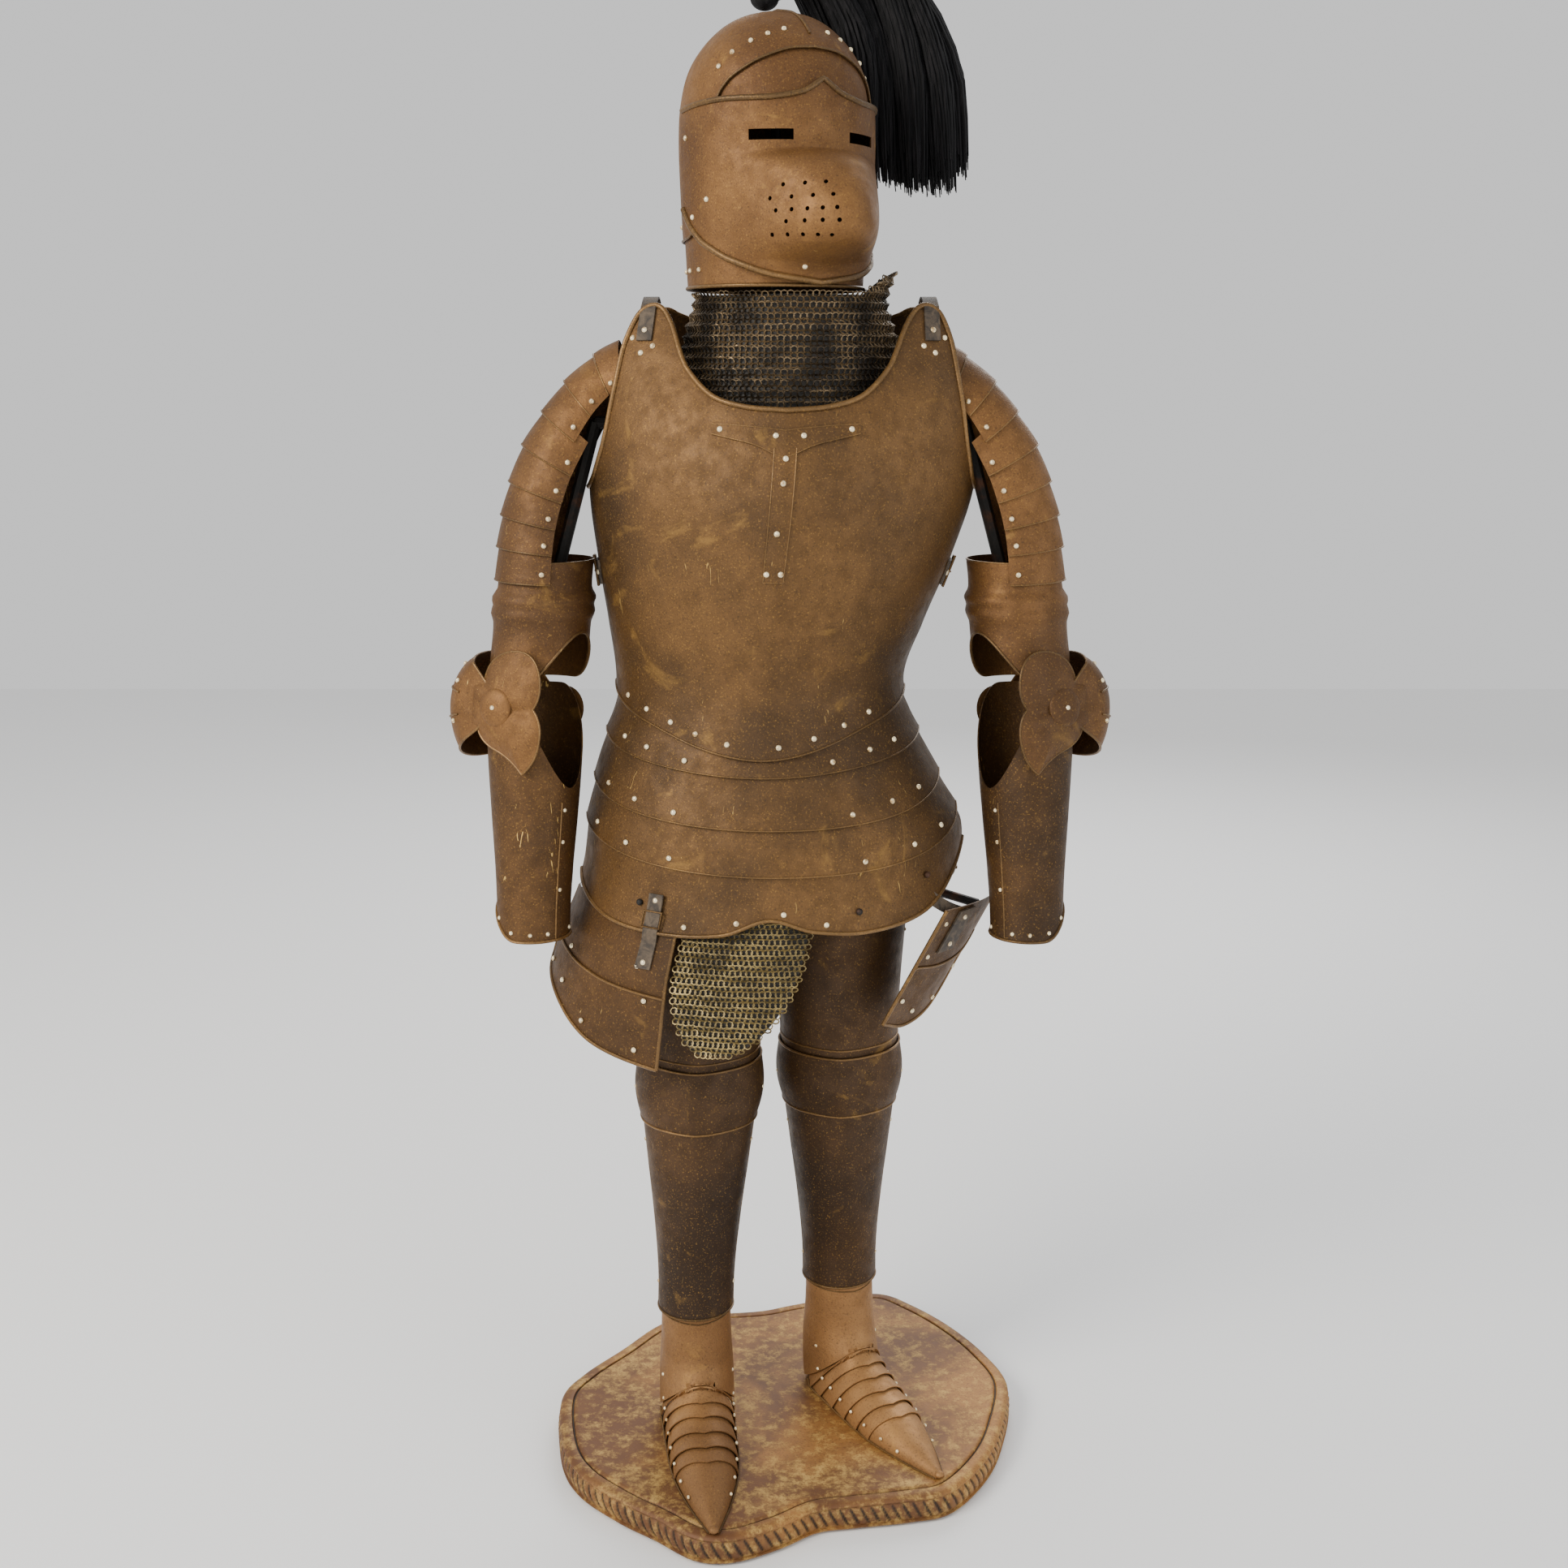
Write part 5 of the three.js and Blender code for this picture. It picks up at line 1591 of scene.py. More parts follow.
@dataclass(frozen=True)
class Mail:
    """The ring collar and the ring flap."""

    rings: Ringwork = Ringwork()
    # Thickness of the dark sheets of painted shade behind the rings
    shade_sheet_wall: float = 1.2
    seed: int = 11

    def build(self) -> None:
        """Makes both pieces of mail."""
        dice = random.Random(self.seed)
        lines = []
        number = 0
        level = 1384.0
        while level < 1550:
            _, half, front, back = COLLAR.at(level)
            around = math.pi * (half + (front + back) / 2)
            count = round(around / self.rings.pitch)
            turns = [-180 + 360 * (i + 0.5 * (number % 2)) / count for i in range(count)]
            turns = [turn for turn in turns if level < self.top(turn)]
            lines += self.rings.row(collar, turns, level, number, dice)
            level += self.rings.rise
            number += 1
        piece("mail_collar_rings", tubes(lines, 0), COLLAR_RINGS, ["mail_collar"])
        # A dark sheet behind the collar's rings: painted shade
        collar_shade_sheet = Plate(collar, ROUND, 1383, above(self.top, -2), 96, 24, self.shade_sheet_wall, -2.6)
        piece("mail_collar_shade_sheet", collar_shade_sheet.build(), MAIL_BACKING_SHADE)
        lines = []
        level = FLAP_TOP - 2.0
        number = 0
        while level > FLAP_TIP:
            width = (brayette(100, level) - brayette(-100, level)).length
            count = max(2, round(width / self.rings.pitch))
            turns = [mix(-100, 100, (i + 0.25 + 0.5 * (number % 2)) / count) for i in range(count)]
            row = self.rings.row(brayette, turns, level, number, dice)
            lines += [Tube([p + self.inwards(p) for p in ring.points], ring.radius, True) for ring in row]
            level -= self.rings.rise
            number += 1
        piece("mail_brayette_rings", tubes(lines, 0), FLAP_RINGS, ["mail_brayette"])
        # A dark sheet behind the flap's rings: painted shade
        sheet = Plate(brayette, (-96, 96), FLAP_TIP + 2, FLAP_TOP, 40, 50, self.shade_sheet_wall, UNDER_FAULD - 5.6)
        piece("mail_brayette_shade_sheet", sheet.build(), MAIL_BACKING_SHADE)

    def top(self, turn: float) -> float:
        """The height of the collar's upper edge, which stands up at the wearer's left."""
        rise = max(0, math.sin(math.radians(turn)) - 0.75) / 0.25
        return mix(1522, 1550, rise)

    def inwards(self, point: Vector) -> Vector:
        """The small step that lays the flap behind the fauld."""
        return Vector((-point.x, -point.y, 0)).normalized() * (-UNDER_FAULD + GAP + self.rings.ring * 0.6)


# Arms

# The arms mirror each other about this x
ARM_MIRROR = -5
SHOULDER = Profile(
    ("at", "x", "y", "z", "lean", "radius"),
    (
        (0, -199, -6, 1412, 84, 56),
        (1, -214, -6, 1400, 66, 56),
        (2, -236, -8, 1375, 49, 58),
        (3, -255, -12, 1344, 39, 61),
        (4, -273, -15, 1311, 29, 63),
        (5, -286, -18, 1276, 19, 63),
        (6, -295, -21, 1242, 12, 63),
        (7, -300, -24, 1209, 6, 63),
        (8, -303, -27, 1172, 2, 63),
    ),
)
UPPER_ARM = Profile(
    ("z", "x", "y", "half"),
    (
        (1040, -315.3, -44.1, 62.1),
        (1080, -311.7, -38.9, 62.1),
        (1120, -308.1, -33.7, 62),
        (1133, -306.9, -32, 66),
        (1142, -306.1, -30.8, 64),
        (1151, -305.3, -29.7, 66),
        (1163, -304.2, -28.1, 59.8),
        (1200, -300.9, -23.3, 59.4),
    ),
)
FOREARM = Profile(
    ("z", "x", "y", "half"),
    (
        (715, -322, -105.5, 47.5),
        (740, -321.5, -100.6, 46.5),
        (800, -320.5, -89, 49),
        (884, -319.3, -72.5, 55.5),
        (950, -318.6, -60, 60),
        (1000, -318, -50, 62.1),
        (1040, -318, -42, 62.1),
    ),
)


def shoulder(turn: float, station: float) -> Vector:
    """The fan of arches of the wearer's right shoulder."""
    _, x, y, z, lean, radius = SHOULDER.at(station)
    a = math.radians(turn)
    tilt = math.radians(lean)
    out = radius * math.cos(a)
    return Vector((x - out * math.cos(tilt), y + radius * math.sin(a), z + out * math.sin(tilt)))


def fan(turn: float, station: float) -> Vector:
    """The shoulder's arches, numbered from the lowest, with the way outwards up."""
    return shoulder(-turn, -station)


def round_tube(table: Profile) -> Surface:
    """The face of a round tube whose middle line and radius come from a table."""

    def face(turn: float, z: float) -> Vector:
        """A point of the tube."""
        _, x, y, half = table.at(z)
        return oval(turn, x, y, half, half, z)

    return face


def dip(turn: float, middle: float, width: float) -> float:
    """A smooth bump of 1 at a turn, gone at a width from it."""
    away = abs((turn - middle + 540) % 360 - 180)
    return 0.0 if away >= width else 0.5 + 0.5 * math.cos(math.pi * away / width)


@dataclass(frozen=True)
class Arm:
    """One arm, modelled as the wearer's right one and mirrored for the left."""

    side: str
    elbow: Vector = Vector((-318, -48, 1010))
    # The elbow's frame, the cup's reach, the wing's seat and the turn of the crook
    turn: float = 30
    tilt: float = 9
    reach: float = 116
    seat: float = 61.9
    crook: float = 60
    around: tuple[float, float] = (-170, 190)
    shoulder_end: float = 102
    # The couter's dome: its angles below and above, its crown there, and how far its cheeks reach
    dome: tuple[float, float] = (-37, 45)
    crowns: tuple[float, float] = (114, 93)
    cheek: float = 196
    # The wing's outline: the start and the control point of each curve
    wing: tuple[tuple[tuple[float, float], tuple[float, float]], ...] = (
        ((-34, 30), (-30, 62)), ((2, 70), (40, 78)), ((50, 46), (58, 20)), ((44, 2), (62, -16)),
        ((56, -44), (52, -66)), ((34, -80), (16, -62)), ((-8, -54), (-34, -46)), ((-40, -28), (-46, -26)),
        ((-52, -24), (-52, 1)), ((-52, 26), (-43, 28)),
    )
    wing_middle: tuple[float, float, float] = (6, 0, -4)
    wing_wall: float = 2
    ear_radii: tuple[float, float] = (30, 26)
    ear_depth: float = 4
    # The boss on the wing: its half sizes and its place from the seat
    boss: tuple[float, float, float] = (24, 7, 24)
    boss_shift: tuple[float, float] = (-6, -12)
    # Rivets on the dome: a hundred times the way across, and the angle
    cup_rivets: tuple[tuple[float, float], ...] = ((78, 20), (78, -16), (40, 30), (-60, 18), (-60, -16))

    def own(self, bm: bmesh.types.BMesh) -> bmesh.types.BMesh:
        """Mirrors a bmesh for the left arm."""
        if self.side == "right":
            return bm
        flip = Matrix.Translation((2 * ARM_MIRROR * MM, 0, 0)) @ Matrix.Diagonal((-1, 1, 1, 1))
        return moved(bm, flip)

    def forearm_body(self) -> Body:
        """The body of this side's forearm."""
        return Body.RIGHT_FOREARM if self.side == "right" else Body.LEFT_FOREARM

    def build(self) -> None:
        """Makes the arm's pieces."""
        self.spaudler()
        self.cannon()
        self.vambrace()
        self.couter()

    def spaudler(self) -> None:
        """The eight shoulder lames, each with its own edge, and the rivets down their front ends."""
        bars = []
        spots = []
        for i in range(1, 9):
            rear = -self.shoulder_end
            front = 88 if i <= 3 else self.shoulder_end
            under = 0 if i == 1 else 0.3
            lift = 1.4 if i == 1 else self.tuck
            plate = Plate(fan, (rear, front), -i, under + 1 - i, 64, 10, WALL, lift)
            name = f"spaudler_{self.side}_lame_{i}"
            piece(f"{name}_plate", self.own(plate.build()), ARM_STEEL, [name])
            edge = [spot(fan, turn, -i, 1.5, FINE).point for turn in spread(rear + 0.6, front - 0.6, 60)]
            bars.append(Tube(edge, 1.0))
            spots += [spot(fan, turn, -i + 0.34, 1.6, FINE) for turn in (front - 10, rear + 10)]
        piece(f"spaudler_{self.side}_edges", self.own(tubes(bars)), EDGE_STEEL)
        piece(f"spaudler_{self.side}_rivets", self.own(studs(spots, 3.4)), BRASS)

    def tuck(self, _turn: float, share: float) -> float:
        """How a shoulder lame's upper part goes under the one above it."""
        return mix(1.6, 0.6 - TUCK, min(1, share * 1.35))

    def cannon(self) -> None:
        """The upper arm tube with its two ribs."""
        face = round_tube(UPPER_ARM)

        def foot_edge(turn: float) -> float:
            """The lower edge, cut away at the crook of the elbow."""
            return 1044 + 66 * dip(turn, self.crook, 80)

        plate = Plate(face, self.around, foot_edge, 1199, 80, 30)
        name = f"upper_cannon_{self.side}"
        piece(f"{name}_plate", self.own(plate.build()), ARM_STEEL, [name])
        turns = spread(*self.around, 90)[:-1]
        bars = [
            Tube(line_on(face, turns, foot_edge, 0.4), 1.8, True),
            Tube(line_on(face, turns, 1198, -0.4), 1.2, True),
        ]
        piece(f"{name}_edges", self.own(tubes(bars)), EDGE_STEEL)

    def vambrace(self) -> None:
        """The forearm tube, its cuff, seam and rivets. It turns at the elbow."""
        face = round_tube(FOREARM)

        def top(turn: float) -> float:
            """The upper edge, cut away at the crook of the elbow."""
            return 1034 - 118 * dip(turn, self.crook, 95)

        def low(turn: float) -> float:
            """The cuff's edge, higher behind."""
            return 728 + 38 * dip(turn, -110, 90)

        plate = Plate(face, self.around, low, top, 80, 34)
        name = f"vambrace_{self.side}"
        body = self.forearm_body()
        piece(f"{name}_plate", self.own(plate.build()), FOREARM_STEEL_AND_TASSET_SHADE, [name], body)
        turns = spread(*self.around, 90)[:-1]
        bars = [
            Tube(line_on(face, turns, low, 0.4), 2.0, True),
            Tube([spot(face, 44, z, 0.2).point for z in spread(low(44) + 2, 900, 30)], 1.0),
            Tube([spot(face, -136, z, 0.2).point for z in spread(low(-136) + 2, 1000, 30)], 1.0),
        ]
        piece(f"{name}_edges", self.own(tubes(bars)), EDGE_STEEL, (), body)
        spots = [spot(face, turn, low(turn) + 9, 0.3) for turn in (-60, -30, 2, 30, 80, 130, 165)]
        spots += [spot(face, 49, z, 0.3) for z in (790, 850, 890)]
        piece(f"{name}_rivets", self.own(studs(spots, 2.8, 2.2)), BRASS, (), body)

    def at_elbow(self) -> Matrix:
        """From the elbow's own frame, with the pivot along -Y and the cup towards -X, to its place."""
        turn = Matrix.Rotation(math.radians(-self.turn), 4, "Z")
        tilt = Matrix.Rotation(math.radians(-self.tilt), 4, "X")
        return Matrix.Translation(self.elbow * MM) @ (turn @ tilt)

    def cup(self, turn: float, angle: float) -> Vector:
        """The couter's dome and its two cheeks.

        Args:
            turn: A hundred times the way across, where -100 to 100 is the dome and the rest the cheeks.
            angle: Degrees round the pivot.

        Returns:
            The point in the elbow's own frame.
        """
        away = abs(turn) / 100
        side = -math.copysign(1, turn)
        end = self.crowns[1] if angle > 0 else self.crowns[0]
        crown = mix(end, self.reach, max(0.0, math.cos(math.radians(angle * 1.9))) ** 0.8)
        phi = math.pi / 2 * min(1, away)
        reach = mix(70, crown, math.cos(phi) ** 1.1)
        if away > 1:
            reach = mix(70, 22, away - 1)
        a = math.radians(angle)
        return Vector((-reach * math.cos(a), side * 66 * math.sin(phi), reach * math.sin(a)))

    def rim(self, share: float) -> Vector:
        """The outline of the two-lobed wing, from quadratic curves, as (x, z)."""
        count = len(self.wing)
        i = min(int(share * count), count - 1)
        f = share * count - i
        (ax, az), (bx, bz) = self.wing[i]
        cx, cz = self.wing[(i + 1) % count][0]
        x = (1 - f) ** 2 * ax + 2 * f * (1 - f) * bx + f * f * cx
        z = (1 - f) ** 2 * az + 2 * f * (1 - f) * bz + f * f * cz
        return Vector((x, 0, z))

    def couter(self) -> None:
        """The elbow cup, its band, the two-lobed wing in front and the ear behind."""
        frame = self.at_elbow()
        across = (-self.cheek, self.cheek)
        dome = Plate(self.cup, across, *self.dome, 84, 28)
        name = f"couter_{self.side}"
        wing = grid(96, 14)
        middle = Vector(self.wing_middle)
        for vert in wing.verts:
            share = vert.co.y
            vert.co = toward(middle, self.rim(vert.co.x), share)
            valley = math.exp(-((vert.co.z + 2) / 8) ** 2) * math.sin(math.pi * share)
            bulge = 2.6 + 11 * (1 - share**3) * (1 - 0.45 * valley)
            vert.co = (vert.co - Vector((0, self.seat + bulge, 0))) * MM
        bmesh.ops.remove_doubles(wing, verts=wing.verts[:], dist=WELD)
        self.face_along(wing, Vector((0, -1, 0)))
        thicken(wing, self.wing_wall)
        ear = empty_mesh()
        inner, outer = self.ear_radii
        place = Matrix.Translation((0, (self.seat + 3) * MM, 0)) @ Matrix.Rotation(-math.pi / 2, 4, "X")
        depth = self.ear_depth * MM
        bmesh.ops.create_cone(
            ear, cap_ends=True, segments=36, radius1=inner * MM, radius2=outer * MM, depth=depth, matrix=place
        )
        made = moved(merged([dome.build(), wing, ear]), frame)
        piece(f"{name}_cup_and_wing", self.own(made), ARM_STEEL, [name])
        disc = empty_mesh()
        bmesh.ops.create_uvsphere(disc, u_segments=32, v_segments=16, radius=1)
        size = Matrix.Diagonal((*(Vector(self.boss) * MM), 1))
        x, y = self.boss_shift
        moved(disc, frame @ Matrix.Translation((x * MM, (y - self.seat) * MM, 0)) @ size)
        piece(f"{name}_boss", self.own(disc), ARM_STEEL)
        bars = []
        for angle in self.dome:
            bars.append(Tube([self.cup(turn, angle) for turn in spread(*across, 90)], 1.7))
        edge = [self.rim(share) - Vector((0, self.seat + 2, 0)) for share in spread(0, 1, 120)[:-1]]
        bars.append(Tube(edge, 1.5, True))
        for shift in (-11, 11):
            bars.append(Tube([spot(self.cup, turn, shift, 0.6).point for turn in spread(-94, 94, 44)], 1.3))
        piece(f"{name}_edges", self.own(moved(tubes(bars), frame)), EDGE_STEEL)
        spots = [spot(self.cup, turn, angle, 0.8) for turn, angle in self.cup_rivets]
        spots.append(Spot(Vector((x, y - 6.6 - self.seat, 0)), Vector((0, -1, 0))))
        piece(f"{name}_rivets", self.own(moved(studs(spots, 3.2), frame)), BRASS)

    def face_along(self, bm: bmesh.types.BMesh, way: Vector) -> None:
        """Turns an open face's sides so that they look along a direction."""
        bm.normal_update()
        total = Vector((0, 0, 0))
        for face in bm.faces:
            total += face.normal * face.calc_area()
        if total.dot(way) < 0:
            bmesh.ops.reverse_faces(bm, faces=bm.faces[:])


# Helmet

# Where the head stands, and how far it looks to the wearer's left
HEAD_X = -10
HEAD_Y = -8
HEAD_TURN = 27
HELM = Profile(
    ("at", "z", "half", "front", "back"),
    (
        (0, 1528, 111, 107, 113),
        (1, 1580, 113, 111, 118),
        (2, 1640, 115, 115, 125),
        (3, 1700, 116, 118, 129),
        (4, 1745, 113, 117, 127),
        (5, 1785, 102, 107, 115),
        (6, 1818, 78, 82, 91),
        (7, 1840, 47, 49, 55),
        (8, 1852, 0.1, 0.1, 0.1),
    ),
)
SKULL_HEM = Profile(
    ("turn", "at"),
    (
        (0, 5.3), (20, 5.2), (40, 4.85), (56, 4.4), (64, 3.9), (70, 2.6),
        (78, 1.5), (92, 1.15), (120, 1.1), (150, 1.1), (180, 1.1),
    ),
)
VISOR_TOP = Profile(("turn", "at"), ((0, 4.3), (12, 3.95), (30, 3.8), (60, 3.8), (80, 3.75), (97, 3.7)))
VISOR_HEM = Profile(("turn", "at"), ((0, 0.12), (30, 0.3), (55, 0.62), (75, 1), (88, 1.35), (97, 1.7)))
BEAK = Profile(
    ("at", "reach"),
    (
        (0, 3), (0.35, 8), (0.62, 22), (0.82, 48), (1, 71), (1.25, 83), (1.6, 80), (2, 66),
        (2.25, 52), (2.42, 35), (2.54, 13), (2.64, 3), (2.9, 1.5), (3.3, 1), (5, 1),
    ),
)
# How far round the beak goes, and how pointed it is
BEAK_TURN = 62
BEAK_ROUND = 1.3


def helm(turn: float, station: float) -> Vector:
    """The helmet's face at a turn and a station, in its own frame."""
    _, z, half, front, back = HELM.at(station)
    return oval(turn, 0, 0, half, front if in_front(turn) else back, z)


def visage(turn: float, station: float) -> Vector:
    """The visor's face: the helmet's with the beak drawn forwards."""
    _, z, half, front, back = HELM.at(station)
    share = max(0.0, math.cos(math.pi / 2 * min(1, abs(turn) / BEAK_TURN)))
    reach = BEAK.at(station)[1] * share**BEAK_ROUND
    return oval(turn, 0, 0, half, (front if in_front(turn) else back) + reach, z)


@dataclass(frozen=True)
class Helmet:
    """Skull, brow, neck plate, beaked visor and plume socket."""

    # Breath holes in rows on the right side of the beak: station, first and last turn, and count
    breaths: tuple[tuple[float, float, float, int], ...] = (
        (1.95, -30, -12, 3),
        (1.72, -36, -10, 4),
        (1.5, -34, -9, 5),
        (1.3, -30, -8, 4),
        (1.08, -35, -10, 5),
    )
    breath: float = 2.6
    neck_top: float = 1.1
    lap: float = 0.35
    brow_low: float = 3.4
    brow_turn: float = 65
    visor_turn: float = 97
    eye: tuple[float, float] = (30, 2.93)
    eye_size: tuple[float, float, float] = (52, 60, 12)
    eye_yaw: float = 26
    # Rivets, as turn and station: up the temple, on the visor, and the turns of those round the neck
    temple: tuple[tuple[float, float], ...] = ((-66, 4.75), (-58, 5.15), (-46, 5.5), (-34, 5.75), (-21, 5.95))
    visor_rivets: tuple[tuple[float, float], ...] = (
        (-90, 3), (90, 3), (-70, 1.8), (70, 1.8), (-12, 0.5), (-84, 1.5), (84, 1.5),
    )
    low_rivets: tuple[float, ...] = (-112, -98, -84, 84, 98, 112, 130, 150, 180, -150, -130)
    high_rivets: tuple[float, ...] = (-150, -120, -92, 92, 120, 150, 180)

    def head(self, surface: Surface) -> Surface:
        """A surface of the head at the head's place."""
        return placed(surface, HEAD_X, HEAD_Y, HEAD_TURN)

    def build(self) -> None:
        """Makes the helmet."""
        face = self.head(helm)
        hem = SKULL_HEM.face_edge()
        skull = Plate(face, ROUND, hem, 7.995, 120, 56)
        piece("helmet_skull_plate", skull.build(), HEAD_STEEL, ["helmet_skull"])
        brow_turns = (-self.brow_turn, self.brow_turn)
        brow = Plate(face, brow_turns, self.brow_low, above(hem, self.lap), 60, 20, WALL, -TUCK)
        piece("helmet_brow_plate", brow.build(), HEAD_STEEL, ["helmet_brow"])
        neck = Plate(face, ROUND, 0, self.neck_top + self.lap, 96, 16, WALL, -TUCK)
        piece("helmet_neck_plate_plate", neck.build(), HEAD_STEEL, ["helmet_neck_plate"])
        ring = spread(*ROUND, 140)[:-1]
        bars = [
            Tube(line_on(face, ring, hem, 0.5), 1.5, True),
            Tube(line_on(face, ring, 0.03, -TUCK + 0.4), 2.4, True),
        ]
        comb = [spot(face, 0, station, 0.6, FINE).point for station in spread(5.8, 7.9, 30)]
        comb += [spot(face, 180, station, 0.6, FINE).point for station in spread(7.9, 1.3, 60)]
        bars.append(Tube(comb, 1.6))
        edging("helmet_edges", bars, 3)
        spots = [spot(face, turn, station, 0.5, FINE) for turn, station in self.temple]
        spots += [spot(face, -turn, station, 0.5, FINE) for turn, station in self.temple]
        spots += [spot(face, turn, 0.42, 0.4 - TUCK, FINE) for turn in self.low_rivets]
        spots += [spot(face, turn, 1.4, 0.5, FINE) for turn in self.high_rivets]
        riveting("helmet_rivets", spots, 3.2)
        self.visor()
        self.socket()

    def visor(self) -> None:
        """The beaked visor with its eye slots, breath holes and rolled edges. It turns at the temples."""
        face = self.head(visage)
        low = VISOR_HEM.face_edge()
        high = VISOR_TOP.face_edge()

        def stand_off(turn: float, _share: float) -> float:
            """How far the visor stands off the helmet."""
            return WALL + 1.9 + 2.4 * max(0, 1 - abs(turn) / 88) ** 0.6

        shell = Plate(face, (-self.visor_turn, self.visor_turn), low, high, 130, 70, WALL, stand_off)
        made = self.pierced(shell.build(), face)
        piece("helmet_visor_plate", made, HEAD_STEEL, ["helmet_visor"], Body.VISOR)
        bars = []
        for edge, radius in ((high, 3.4), (low, 4.0)):
            turns = spread(-96.6, 96.6, 110)
            line = [spot(face, turn, edge(turn), stand_off(turn, 0) + 0.2, FINE).point for turn in turns]
            bars.append(Tube(line, radius))
        edging("helmet_visor_edges", bars, 3, Body.VISOR)
        spots = [spot(face, turn, at, stand_off(turn, 0) + 0.4, FINE) for turn, at in self.visor_rivets]
        riveting("helmet_visor_rivets", spots, 3.4, body=Body.VISOR)

    def pierced(self, bm: bmesh.types.BMesh, face: Surface) -> bmesh.types.BMesh:
        """Cuts the eye slots and breath holes through the visor.

        Args:
            bm: The visor's plate, which is freed.
            face: The visor's outer face.

        Returns:
            The pierced plate.
        """
        cutters = empty_mesh()
        for row, first, last, count in self.breaths:
            for turn in spread(first, last, count - 1):
                place = spot(face, turn, row, 3, FINE)
                aim = place.out.to_track_quat("Z", "Y").to_matrix().to_4x4()
                matrix = Matrix.Translation(place.point * MM) @ aim
                bmesh.ops.create_cone(
                    cutters, cap_ends=True, segments=12, radius1=self.breath * MM, radius2=self.breath * MM,
                    depth=36 * MM, matrix=matrix,
                )
        for sign in (-1, 1):
            centre = face(sign * self.eye[0], self.eye[1])
            turn = Matrix.Rotation(math.radians(HEAD_TURN + sign * self.eye_yaw), 4, "Z")
            size = Matrix.Diagonal((*(Vector(self.eye_size) * MM), 1))
            bmesh.ops.create_cube(cutters, size=1, matrix=Matrix.Translation(centre * MM) @ turn @ size)
        plate = self.loose("visor_blank", bm)
        tool = self.loose("visor_cutters", cutters)
        cut = plate.modifiers.new("cut", "BOOLEAN")
        cut.object = tool
        cut.solver = "EXACT"
        cut.use_self = False
        bpy.context.view_layer.update()
        graph = bpy.context.evaluated_depsgraph_get()
        result = bpy.data.meshes.new_from_object(plate.evaluated_get(graph))
        made = empty_mesh()
        made.from_mesh(result)
        for extra in (plate, tool):
            bpy.data.objects.remove(extra)
        return made

    def loose(self, name: str, bm: bmesh.types.BMesh) -> bpy.types.Object:
        """A bare object for the cut, removed after it."""
        mesh = bpy.data.meshes.new(name)
        bm.to_mesh(mesh)
        bm.free()
        made = bpy.data.objects.new(name, mesh)
        bpy.context.scene.collection.objects.link(made)
        return made

    def socket(self) -> None:
        """The small tube that holds the plume."""
        low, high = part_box("plume_socket")
        centre = (low + high) / 2
        foot_end = Vector((centre.x, centre.y, low.z + 0.004)) / MM
        head_end = Vector((centre.x, centre.y, high.z - 0.004)) / MM
        bar = Tube([toward(foot_end, head_end, s) for s in (0, 0.1, 0.5, 0.9, 1)], (5.5, 7, 6.6, 7, 6.4))
        middle = toward(foot_end, head_end, 0.92)
        bead = [middle + Vector((7 * math.cos(a), 7 * math.sin(a), 0)) for a in spread(0, 5.9, 16)]
        made = tubes([bar, Tube(bead, 1.4, True)], 3)
        piece("plume_socket_tube", made, EDGE_STEEL, ["plume_socket"])


# Plume


